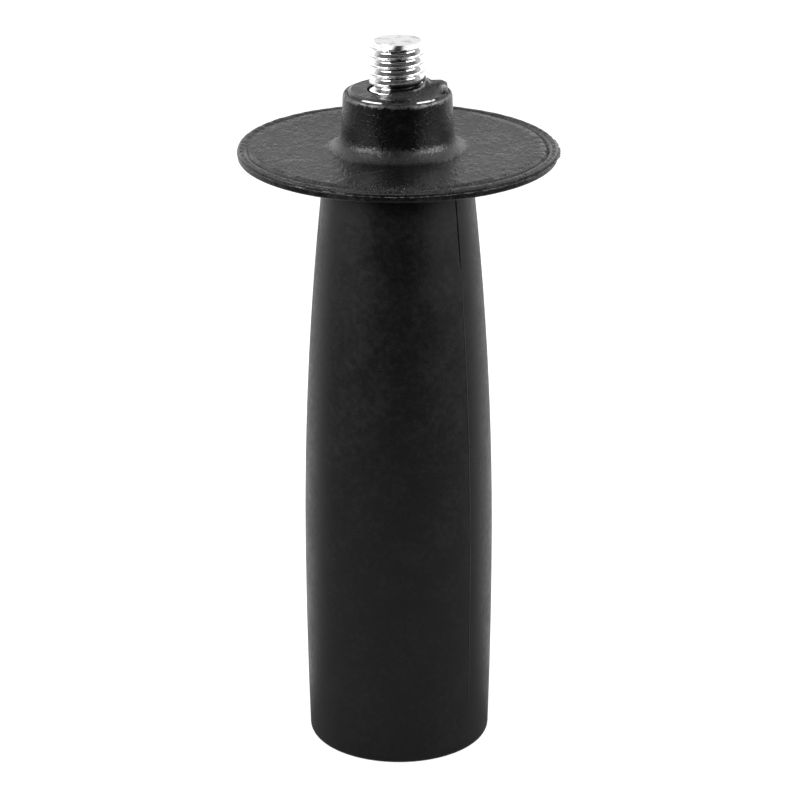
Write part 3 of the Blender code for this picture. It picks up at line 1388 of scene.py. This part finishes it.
    def skin_tree(self, ring_count: int) -> GeometryTree:
        """The tree that turns the profile and moves its rings unevenly.

        Args:
            ring_count: How many rings the profile has.

        Returns:
            The tree, ready to run.
        """
        tree = GeometryTree("turned_moulding")
        grid = TurnedGrid(tree, self.columns, ring_count)
        seed = tree.size("Seed", self.seed)
        parting = tree.size("Parting Angle", math.radians(self.parting_angle))
        crowding = tree.size("Column Crowding", self.crowding)
        angle = grid.turn - ((grid.turn - parting) * 2.0).sine() * crowding / 2.0
        around = tree.vector(angle.cosine(), angle.sine(), 0.0)
        skin = Skin(tree, grid, angle, around, parting, seed)

        height = grid.height + self.warp(skin) + self.unevenness(skin) - self.groove(skin)
        height = height + self.collar_surface(skin)
        reach, wave = self.flash(skin)
        radius = grid.radius + reach + self.parting_relief(skin)
        radius = radius * self.hexagon_share(skin)
        tree.close(grid.turned(angle, radius, height + wave), self.finish.material(self))
        return tree

    def warp(self, skin: Skin) -> Term:
        """How far the guard is bent up, more on one side than on the other.

        Args:
            skin: What the rule reads.

        Returns:
            The height that it adds.
        """
        lift = skin.tree.size("Warp Lift", self.warp_lift * MM)
        rise = skin.tree.size("Warp Rise", self.warp_rise * MM)
        high = skin.tree.size("Warp Angle", math.radians(self.warp_angle))
        return skin.grid.trait(Trait.WARP) * (lift + rise * (skin.angle - high).cosine())

    def unevenness(self, skin: Skin) -> Term:
        """Small lumps of the moulded skin, mostly on the rim.

        Args:
            skin: What the rule reads.

        Returns:
            The height that they add.
        """
        amount = skin.tree.size("Rim Unevenness", self.rim_unevenness * MM)
        level = skin.around * skin.grid.radius
        place = skin.tree.vector(level.part("X"), level.part("Y"), skin.grid.height * 0.3)
        lumps = skin.tree.noise(place * (1 / MM), 0.85, 2.0, skin.seed) - 0.5
        return lumps * 2.0 * amount * skin.grid.trait(Trait.ROUGH)

    def groove(self, skin: Skin) -> Term:
        """Depth of the groove inside the rim's bead, which fades at the front and the back.

        Args:
            skin: What the rule reads.

        Returns:
            The height that it takes away.
        """
        tree = skin.tree
        depth = tree.size("Groove Depth", self.groove_depth * MM)
        front = tree.size("Groove Front Share", self.groove_front_share)
        back = tree.size("Groove Back Share", self.groove_back_share)
        fade = tree.mix(tree.step(-skin.angle.sine(), 0.75, 0.97), 1.0, front)
        behind = tree.step(skin.angle.sine() - skin.angle.cosine() * 0.5, 0.0, 0.6)
        broken = 0.6 + tree.noise(skin.around, 14.0, 2.0, skin.seed + 5.0) * 0.8
        return skin.grid.trait(Trait.GROOVE) * depth * tree.mix(behind, fade, back) * broken

    def flash(self, skin: Skin) -> tuple[Term, Term]:
        """How far the ragged flash stands out of the rim, and how far it waves up and down.

        Args:
            skin: What the rule reads.

        Returns:
            What it adds to the radius, and to the height.
        """
        tree = skin.tree
        low = tree.size("Flash Reach Low", self.flash_reach_low * MM)
        high = tree.size("Flash Reach High", self.flash_reach_high * MM)
        wave = tree.size("Flash Wave", self.flash_wave * MM)
        wide = (skin.angle.cosine() + 1.0) / 2.0
        teeth = tree.step(tree.noise(skin.around, 22.0, 3.0, skin.seed + 1.0), 0.36, 0.56)
        swell = tree.step(tree.noise(skin.around, 3.5, 1.0, skin.seed + 2.0), 0.4, 0.5)
        on_flash = skin.grid.trait(Trait.FLASH)
        share = (0.25 + teeth * 0.45 + swell * 0.3) * on_flash
        lift = (tree.noise(skin.around, 16.0, 2.0, skin.seed + 3.0) - 0.5) * 2.0 * wave
        return (low + (high - low) * wide) * share, lift * on_flash

    def parting_relief(self, skin: Skin) -> Term:
        """The line that the mould's halves left: a groove up the neck, and a low ridge below.

        Args:
            skin: What the rule reads.

        Returns:
            What it adds to the radius.
        """
        tree = skin.tree
        width = tree.size("Parting Width", self.parting_width * MM)
        groove = tree.size("Parting Groove", self.parting_groove * MM)
        ridge = tree.size("Parting Ridge", self.parting_ridge * MM)
        turn = tree.size("Parting Turn Height", self.parting_turn * MM)
        height = skin.grid.height
        near = tree.step(abs((skin.angle - skin.parting).sine()) * skin.grid.radius, width / 2.0, 0.0)
        up = tree.step(height, turn - 2.0 * MM, turn + 2.0 * MM)
        broken = tree.noise(tree.vector(0.0, 0.0, height / MM), 0.12, 2.0, skin.seed + 4.0)
        relief = ridge * tree.step(broken, 0.35, 0.6) * (1.0 - up) - groove * up
        return near * skin.grid.trait(Trait.PARTING) * relief

    def hexagon_share(self, skin: Skin) -> Term:
        """How much a ring of the bolt head's pocket is drawn in between its corners.

        Args:
            skin: What the rule reads.

        Returns:
            The share of the radius that is kept.
        """
        sixth = math.pi / 3
        flat = math.cos(sixth / 2) / ((skin.angle % sixth) - sixth / 2).cosine()
        return skin.tree.mix(skin.grid.trait(Trait.HEXAGON), 1.0, flat)

    def collar_surface(self, skin: Skin) -> Term:
        """Height of the collar's top: a level land, with the plastic round the bolt torn up.

        At the front the land climbs towards a ragged crest, which runs straight across the
        collar beside the bolt. Behind the crest it is hollow between a high lip and its outer edge.

        Args:
            skin: What the rule reads.

        Returns:
            The height, as a share given by each ring's trait.
        """
        tree = skin.tree
        grid = skin.grid
        angle = skin.angle
        tear_from = tree.size("Tear From", math.radians(self.tear_from))
        tear_to = tree.size("Tear To", math.radians(self.tear_to))
        start = tree.size("Tear Start Blend", math.radians(self.tear_start_blend))
        end = tree.size("Tear End Blend", math.radians(self.tear_end_blend))
        land = tree.size("Land Radius", self.land_radius)
        crest_rise = tree.size("Tear Crest Rise", self.tear_crest_rise * MM)
        jag = tree.size("Tear Crest Jags", self.tear_crest_jags * MM)
        hollow = tree.size("Tear Hollow", self.tear_hollow * MM)
        high = tree.size("Tear Rise High", self.tear_rise_high * MM)
        outer = tree.size("Tear Outer Rise", self.tear_outer_rise * MM)
        crest = tree.size("Tear Crest", self.tear_crest)
        width = tree.size("Tear Crest Width", self.tear_crest_width)
        ragged = tree.size("Tear Crest Raggedness", self.tear_crest_raggedness)
        spike_width = tree.size("Tear Spike Width", self.tear_spike_width)
        spike_rise = tree.size("Tear Spike Rise", self.tear_spike_rise * MM)
        top = tree.size("Collar Top", self.collar_top * MM)

        inward = grid.trait(Trait.INWARD)
        place = skin.around * (grid.radius / MM)
        across = place.part("X")
        along = place.part("Y")
        foot = -tree.maths("SQRT", (land * land - across * across).at_least(0.01))
        climb = ((along - foot) / (crest - foot).at_least(0.7)).at_least(0.0).at_most(1.0)
        jagged = tree.noise(tree.vector(across, 0.0, 0.0), 2.0, 3.0, skin.seed + 9.0) - 0.5
        torn = tree.step(angle, tear_from, tear_from + 0.3)
        torn = torn.at_most(tree.step(angle, tear_to, tear_to - 0.3))
        starting = tree.step(angle, tear_from, tear_from + start) * torn
        front = climb * (crest_rise + jagged * jag * climb) * starting
        high_lip = high * tree.step(angle, tear_to, tear_to - end)
        high_edge = outer * tree.step(angle, tear_to + 0.1, tear_to - end - 0.15)
        hollowed = hollow * (inward * math.pi).sine() * tree.step(along, crest, crest + 1.0)
        behind = high_edge * (1.0 - inward) + high_lip * inward - hollowed
        rags = tree.noise(place, 1.6, 3.0, skin.seed + 6.0) - 0.5
        raised = tree.step(along + rags * ragged, crest, crest + width) * tree.step(across, 0.0, 2.0)
        spike = spike_rise * tree.step((place - (*self.tear_spike, 0.0)).length(), spike_width, 0.0)
        uneven = spike + self.tear_rags(skin, inward)
        surface = tree.mix(raised, front, behind) + uneven * torn
        return grid.trait(Trait.COLLAR) * (top + surface)

    def tear_rags(self, skin: Skin, inward: Term) -> Term:
        """Streaks down the torn slope and a ragged edge at its top.

        Args:
            skin: What the rule reads.
            inward: How far each point lies towards the bolt, from 0 to 1.

        Returns:
            The height that they add.
        """
        tree = skin.tree
        amount = tree.size("Tear Unevenness", self.tear_unevenness * MM)
        streaks = tree.noise(skin.around, 11.0, 3.0, skin.seed + 7.0) - 0.5
        crumbs = tree.noise(skin.around + tree.vector(0.0, 0.0, inward), 6.0, 4.0, skin.seed + 8.0) - 0.5
        return (streaks * 0.8 + crumbs) * amount * tree.step(inward, 0.0, 0.35) * 2.0


@dataclass(frozen=True)
class ThreadedBolt:
    """The bolt: a shank with a rolled thread and a chamfered end, on a hexagon head.

    Attributes:
        top: Height of the threaded end.
        bottom: Height of the head's underside.
        radius: Radius of the thread's crests and of the shank.
        pitch: Distance from one turn to the next.
        depth: Depth of the thread.
        crest_width: Width of the flat crest.
        flank_angle: Angle of a flank from a level plane.
        thread_length: How far the thread runs down from the end.
        end_radius: Radius of the flat end.
        end_angle: Slope of the end's chamfer.
        end_edge: Width of the soft edge round the flat end.
        across_flats: Width of the head.
        head_height: Height of the head.
        head_chamfer: Slope of the chamfer round the head's underside.
        columns: Facets round the shank.
        sharp_angle: The angle from which an edge is sharp.
        finish: The bolt's finish.
    """

    top: float
    bottom: float
    radius: float = 3.92
    pitch: float = 1.25
    depth: float = 0.767
    crest_width: float = 0.156
    flank_angle: float = 30.0
    thread_length: float = 12.0
    end_radius: float = 3.3
    end_angle: float = 35.0
    end_edge: float = 0.05
    across_flats: float = 13.0
    head_height: float = 5.3
    head_chamfer: float = 30.0
    columns: int = 112
    sharp_angle: float = 15.0
    finish: PlatedSteel = PlatedSteel()

    @classmethod
    def from_frame(cls) -> "ThreadedBolt":
        """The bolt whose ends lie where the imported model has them."""
        low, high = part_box(BOLT_NODE)
        return cls(top=high.z / MM, bottom=low.z / MM)

    def make(self) -> bpy.types.Object:
        """Make the bolt, dress it and hand it over.

        Returns:
            The finished piece.
        """
        material = self.finish.material()
        head_top = self.bottom + self.head_height
        foot = head_top - self.head_height / 2
        piece = self.shank(material, foot)
        combine(piece, self.envelope(foot), Cut.KEEP_COMMON)
        combine(piece, self.head(head_top), Cut.JOIN)
        piece.data.materials.clear()
        piece.data.materials.append(material)
        smooth(piece, self.sharp_angle)
        hand_over(piece, BOLT_NODE)
        return piece

    def thread_section(self) -> list[Point]:
        """The thread's section, from the middle of one crest to the next.

        Returns:
            (depth, height) of each point, without the last.
        """
        slope = math.tan(math.radians(self.flank_angle))
        half_crest = self.crest_width / 2
        half_pitch = self.pitch / 2
        soft = 0.06 * self.depth
        corner = half_crest + self.depth * slope
        half = [(0.0, 0.0), (0.0, half_crest * 0.55), (soft * 0.25, half_crest * 0.92)]
        for share in (0.07, 0.35, 0.65, 0.91):
            half.append((self.depth * share, half_crest + self.depth * share * slope))
        half.append((self.depth * 0.98, corner + 0.1 * (half_pitch - corner)))
        half.append((self.depth, corner + 0.5 * (half_pitch - corner)))
        middle = [(self.depth, half_pitch)]
        back = [(depth, self.pitch - height) for depth, height in reversed(half[1:])]
        return half + middle + back

    def shank(self, material: bpy.types.Material, foot: float) -> bpy.types.Object:
        """The threaded shank, longer at both ends than it will be.

        Args:
            material: Its finish.
            foot: The height that it has to reach down to.

        Returns:
            A closed skin.
        """
        section = self.thread_section()
        low = math.floor(foot / self.pitch) - 2
        high = math.ceil(self.top / self.pitch) + 2
        rings = []
        for turn in range(low, high):
            rings += [Ring(self.radius - depth, turn * self.pitch + height) for depth, height in section]
        tree = self.shank_tree(material, len(rings), (low + 1) * self.pitch, (high - 1) * self.pitch)
        return tree.piece("plated_bolt", profile_mesh("thread_profile", rings))

    def shank_tree(
        self, material: bpy.types.Material, ring_count: int, low: float, high: float
    ) -> GeometryTree:
        """The tree that carries the thread's section along its helix.

        Args:
            material: The finish.
            ring_count: How many rings the profile has.
            low: Height of the skin's lower end.
            high: Height of its upper end.

        Returns:
            The tree, ready to run.
        """
        tree = GeometryTree("threaded_shank")
        grid = TurnedGrid(tree, self.columns, ring_count)
        radius = tree.size("Shank Radius", self.radius * MM)
        pitch = tree.size("Pitch", self.pitch * MM)
        thread_end = tree.size("Thread End", (self.top - self.thread_length) * MM)
        lowest = tree.size("Lower End", low * MM)
        highest = tree.size("Upper End", high * MM)
        climbed = grid.height + pitch * grid.turn / FULL_TURN
        height = climbed.at_least(lowest).at_most(highest)
        beyond = abs(climbed - height) / pitch * 4.0
        cut = tree.step(climbed, thread_end, thread_end + pitch)
        turned = radius - (radius - grid.radius) * cut
        turned = turned * (1.0 - beyond.at_most(1.0))
        tree.close(grid.turned(grid.turn, turned, height), material)
        return tree

    def envelope(self, foot: float) -> bpy.types.Object:
        """The room that the shank is cut to: a cylinder with a chamfered end.

        Args:
            foot: Height of its lower end.

        Returns:
            A closed solid.
        """
        room = self.radius + 0.5
        slope = math.tan(math.radians(self.end_angle))
        edge = self.end_edge
        outline = [(room, foot), (room, self.top - (room - self.end_radius) * slope)]
        outline.append((self.end_radius + edge, self.top - edge * slope))
        outline.append((self.end_radius - edge * 0.6, self.top))
        return turned_solid("shank_room", outline, self.columns)

    def head(self, head_top: float) -> bpy.types.Object:
        """The hexagon head, with the corners of its underside chamfered off.

        Args:
            head_top: Height of its bearing face.

        Returns:
            A closed solid.
        """
        corner = self.across_flats / 2 / math.cos(math.pi / 6)
        hexagon = turned_solid("bolt_head", [(corner, self.bottom), (corner, head_top)], 6)
        flat = self.across_flats / 2 * 0.95
        rise = (corner + 0.1 - flat) * math.tan(math.radians(self.head_chamfer))
        outline = [(flat, self.bottom), (corner + 0.1, self.bottom + rise), (corner + 0.1, head_top)]
        return combine(hexagon, turned_solid("head_room", outline, self.columns), Cut.KEEP_COMMON)


@dataclass(frozen=True)
class Studio:
    """The pale floor, the soft light and the camera.

    Attributes:
        camera_distance: How far the camera stands from the axis.
        camera_height: Its height above the floor.
        camera_offset: How far it stands to the right.
        camera_pitch: How far it looks down.
        camera_roll: How far it is rolled.
        focal_length: Focal length on the sensor.
        sensor_width: Width of the sensor.
        floor_size: Side of the floor.
        floor_grey: Brightness of the floor's own colour.
        floor_lift: What the floor adds to itself for the camera.
        sky_diffuse: Level of the room's light on the object.
        wall_side: How bright shiny faces see the walls level with them, at the sides.
        wall_back: How bright they see them behind the handle.
        wall_edge: Elevation at which those walls end.
        tent_left: What shiny faces see high up on the left.
        tent_right: What they see high up on the right.
        tent_top: What they see overhead, beside the dark strip.
        strip_level: What they see in the darker strip behind the handle.
        overhead_level: What they see of that strip straight overhead.
        low_side: How bright they see the floor at the sides.
        low_back: How bright they see it behind the handle.
        low_front: How bright they see it just in front.
        far_side: How bright they see it far off at the sides.
        far_reach: Where the floor's painted reflection at the sides starts to brighten and where it is
            bright.
        front_reach: Where the floor's painted reflection in front starts to darken and where it is dark.
        dim_reach: Where the painted dimmer ring in the floor's reflection starts, is dimmest, ends to be so
            and is past.
        dim_share: How much dimmer that painted ring is.
        contact_fall: How the painted shadow of the handle in the floor's reflection fades with each
            millimetre.
        contact_share: How dark that painted shadow is against the grip.
        box_azimuth: How far each side light stands round from the camera.
        box_turn: How far both are turned round to the right.
        box_elevation: How high it stands.
        box_width: Its width.
        box_height: Its height.
        box_radiance: Its brightness, where white is 1.
        top_elevation: How high the light above the camera stands.
        top_radiance: Its brightness.
        light_distance: How far every light stands from the handle.
    """

    camera_distance: float = 419.98
    camera_height: float = 207.464
    camera_offset: float = 0.23
    camera_pitch: float = 20.393
    camera_roll: float = -0.145
    focal_length: float = 141.264
    sensor_width: float = 36.0
    floor_size: float = 6000.0
    floor_grey: float = 0.5
    floor_lift: float = 0.78
    sky_diffuse: float = 0.3
    wall_side: float = 0.4
    wall_back: float = 1.16
    wall_edge: float = 14.4
    tent_left: float = 1.35
    tent_right: float = 1.6
    tent_top: float = 1.25
    strip_level: float = 0.36
    overhead_level: float = 0.04
    low_side: float = 0.25
    low_back: float = 0.9
    low_front: float = 0.3
    far_side: float = 0.5
    far_reach: Point = (362.0, 378.0)
    front_reach: Point = (90.0, 270.0)
    dim_reach: tuple[float, ...] = (150.0, 210.0, 290.0, 330.0)
    dim_share: float = 0.55
    contact_fall: float = 0.92
    contact_share: float = 0.3
    box_azimuth: float = 68.0
    box_turn: float = 4.0
    box_elevation: float = 24.0
    box_width: float = 760.0
    box_height: float = 200.0
    box_radiance: float = 12.0
    top_elevation: float = 52.0
    top_radiance: float = 9.0
    light_distance: float = 900.0

    def make(self) -> None:
        """Set the whole studio up."""
        self.add_camera()
        self.add_floor()
        self.add_world()
        for side in Side:
            azimuth = self.box_azimuth * side.value + self.box_turn
            self.add_light(side.name, azimuth, self.box_elevation, self.box_radiance)
        top = self.add_light("TOP", 0.0, self.top_elevation, self.top_radiance)
        top.visible_glossy = False
        settings = bpy.context.scene.view_settings
        settings.view_transform = "Standard"

    def add_camera(self) -> None:
        """The camera, at the photograph's place and with its long lens."""
        data = bpy.data.cameras.new("camera")
        data.lens = self.focal_length
        data.sensor_width = self.sensor_width
        data.clip_start = 10 * MM
        camera = linked("camera", data)
        place = Vector((self.camera_offset, -self.camera_distance, self.camera_height)) * MM
        tilt = Matrix.Rotation(math.radians(90 - self.camera_pitch), 4, "X")
        roll = Matrix.Rotation(math.radians(self.camera_roll), 4, "Z")
        camera.matrix_world = Matrix.Translation(place) @ tilt @ roll
        bpy.context.scene.camera = camera

    def add_floor(self) -> None:
        """A plain pale floor that keeps the handle's shadow and can't be seen from below."""
        half = self.floor_size * MM / 2
        mesh = bpy.data.meshes.new("floor")
        corners = [(-half, -half, 0.0), (half, -half, 0.0), (half, half, 0.0), (-half, half, 0.0)]
        mesh.from_pydata(corners, [], [(0, 1, 2, 3)])
        floor = linked("floor", mesh)
        mesh.materials.append(self.floor_material())

    def floor_material(self) -> bpy.types.Material:
        """Matt grey that is lifted to white for the camera, glows for shiny faces as a painted reflection,
        and is clear from below.

        Returns:
            The material.
        """
        material = bpy.data.materials.new("floor_looks")
        material.use_nodes = True
        material.node_tree.nodes.clear()
        board = Board(material.node_tree)
        grey = self.floor_grey
        matt = board.node("ShaderNodeBsdfDiffuse", {}, {"Color": (grey, grey, grey, 1.0)})
        seen = board.node("ShaderNodeLightPath", {}, {}, "Is Camera Ray")
        shown = seen.at_least(seen.other("Is Transmission Ray")) * self.floor_lift
        glow = board.node("ShaderNodeEmission", {}, {"Strength": shown})
        lit = board.node("ShaderNodeAddShader", {}, {0: matt, 1: glow})
        # For shiny faces the floor is an emission: a painted reflection with a painted shadow
        painted_reflection = board.node("ShaderNodeEmission", {}, {"Strength": self.painted_floor_reflection(board)})
        glossy = seen.other("Is Glossy Ray")
        either = board.node("ShaderNodeMixShader", {}, {0: glossy, 1: lit, 2: painted_reflection})
        below = board.node("ShaderNodeNewGeometry", {}, {}, "Backfacing")
        clear = board.node("ShaderNodeBsdfTransparent")
        both = board.node("ShaderNodeMixShader", {}, {0: below, 1: either, 2: clear})
        board.node("ShaderNodeOutputMaterial", {}, {"Surface": both})
        return material

    def painted_floor_reflection(self, board: Board) -> Term:
        """The floor's glow that shiny faces see, as a painted reflection: dark in front from some way off,
        with a painted dimmer ring and a painted shadow of the handle.

        Args:
            board: The floor's board.

        Returns:
            The floor's brightness for shiny faces.
        """
        place = board.node("ShaderNodeTexCoord", {}, {}, "Object") * (1 / MM)
        reach = place.length().at_least(1.0)
        forward = -place.part("Y") / reach
        front_start, front_end = self.front_reach
        near = board.step(reach, front_end, front_start) * self.low_front
        fall_start, fall_end, rise_start, rise_end = self.dim_reach
        dim = board.step(reach, fall_start, fall_end) * board.step(reach, rise_end, rise_start)
        floor = board.step(forward, 0.8, 0.0) * (1.0 - dim * self.dim_share) * self.low_side
        floor = floor + board.step(forward, 0.0, -0.75) * (self.low_back - self.low_side)
        far_start, far_end = self.far_reach
        far = board.step(reach, far_start, far_end) * board.step(forward, 0.86, 0.45)
        # Painted shadow of the handle in the floor's reflection, darkest against the grip
        shadow = self.contact_fall ** (reach - GripMoulding.belly_radius)
        return floor.at_least(far * self.far_side).at_least(near) * (1.0 - shadow * self.contact_share)

    def add_world(self) -> None:
        """A white room with a dark gap behind the camera, as a light tent has."""
        world = bpy.data.worlds.new("room")
        world.use_nodes = True
        world.node_tree.nodes.clear()
        bpy.context.scene.world = world
        board = Board(world.node_tree)
        direction = board.node("ShaderNodeTexCoord", {}, {}, "Generated")
        path = board.node("ShaderNodeLightPath", {}, {}, "Is Camera Ray")
        glossy = path.other("Is Glossy Ray")
        white = path.at_least(path.other("Is Transmission Ray"))
        diffuse = 1.0 - white.at_least(glossy)
        strength = white + glossy * self.mirrored_room(board, direction) + diffuse * self.sky_diffuse
        sockets = {"Color": (1.0, 1.0, 1.0, 1.0), "Strength": strength}
        light = board.node("ShaderNodeBackground", {}, sockets)
        board.node("ShaderNodeOutputWorld", {}, {"Surface": light})

    def mirrored_room(self, board: Board, direction: Term) -> Term:
        """What a shiny face sees of the room.

        Args:
            board: The world's board.
            direction: The way that it looks.

        Returns:
            The room's brightness that way.
        """
        up = direction.part("Z")
        level = (direction * LEVEL).length().at_least(0.05)
        forward = -direction.part("Y") / level
        edge = math.sin(math.radians(self.wall_edge))
        walls = board.step(forward, 0.78, 0.3) * self.wall_side
        walls = walls + board.step(forward, -0.6, -0.9) * (self.wall_back - self.wall_side)
        strip = board.mix(board.step(up, 0.45, 0.8), self.strip_level, self.overhead_level)
        right = board.step(direction.part("X"), -0.3, 0.3)
        tent = board.mix(right, self.tent_left, self.tent_right)
        tent = board.mix(board.step(up, 0.4, 0.65), tent, self.tent_top)
        tent = board.mix(board.step(forward, 0.1, 0.5) * board.step(up, 0.8, 0.5), tent, self.strip_level)
        sideways = abs(direction.part("X")) + board.step(up, 0.4, 0.7) * 0.08
        high = board.mix(board.step(sideways, 0.17, 0.32), strip, tent)
        return board.mix(board.step(up, edge - 0.005, edge + 0.012), walls, high)

    def add_light(self, name: str, azimuth: float, elevation: float, radiance: float) -> bpy.types.Object:
        """A soft light that faces the handle.

        Args:
            name: The light's name.
            azimuth: How far it stands round from the camera, to the right.
            elevation: How high it stands.
            radiance: Its brightness, where white is 1.

        Returns:
            The light.
        """
        data = bpy.data.lights.new(f"softbox_{name.lower()}", "AREA")
        data.shape = "RECTANGLE"
        data.size = self.box_width * MM
        data.size_y = self.box_height * MM
        data.energy = radiance * math.pi * data.size * data.size_y
        box = linked(data.name, data)
        turn = math.radians(azimuth)
        rise = math.radians(elevation)
        level = math.cos(rise)
        direction = Vector((math.sin(turn) * level, -math.cos(turn) * level, math.sin(rise)))
        target = Vector((0.0, 0.0, cad_box[1].z / 2))
        facing = direction.to_track_quat("Z", "Y").to_matrix().to_4x4()
        box.matrix_world = Matrix.Translation(target + direction * self.light_distance * MM) @ facing
        box.visible_camera = False
        return box


def main() -> None:
    """Make the studio and every piece, and report each."""
    logging.basicConfig(level=logging.INFO, format="%(message)s")
    Studio().make()
    for piece in (GripMoulding().make(), ThreadedBolt.from_frame().make()):
        low, high = ([round(x / MM, 2) for x in piece.bound_box[corner]] for corner in (0, 6))
        log.info("%s: %s to %s mm", piece.name, low, high)


if __name__ == "__main__":
    main()
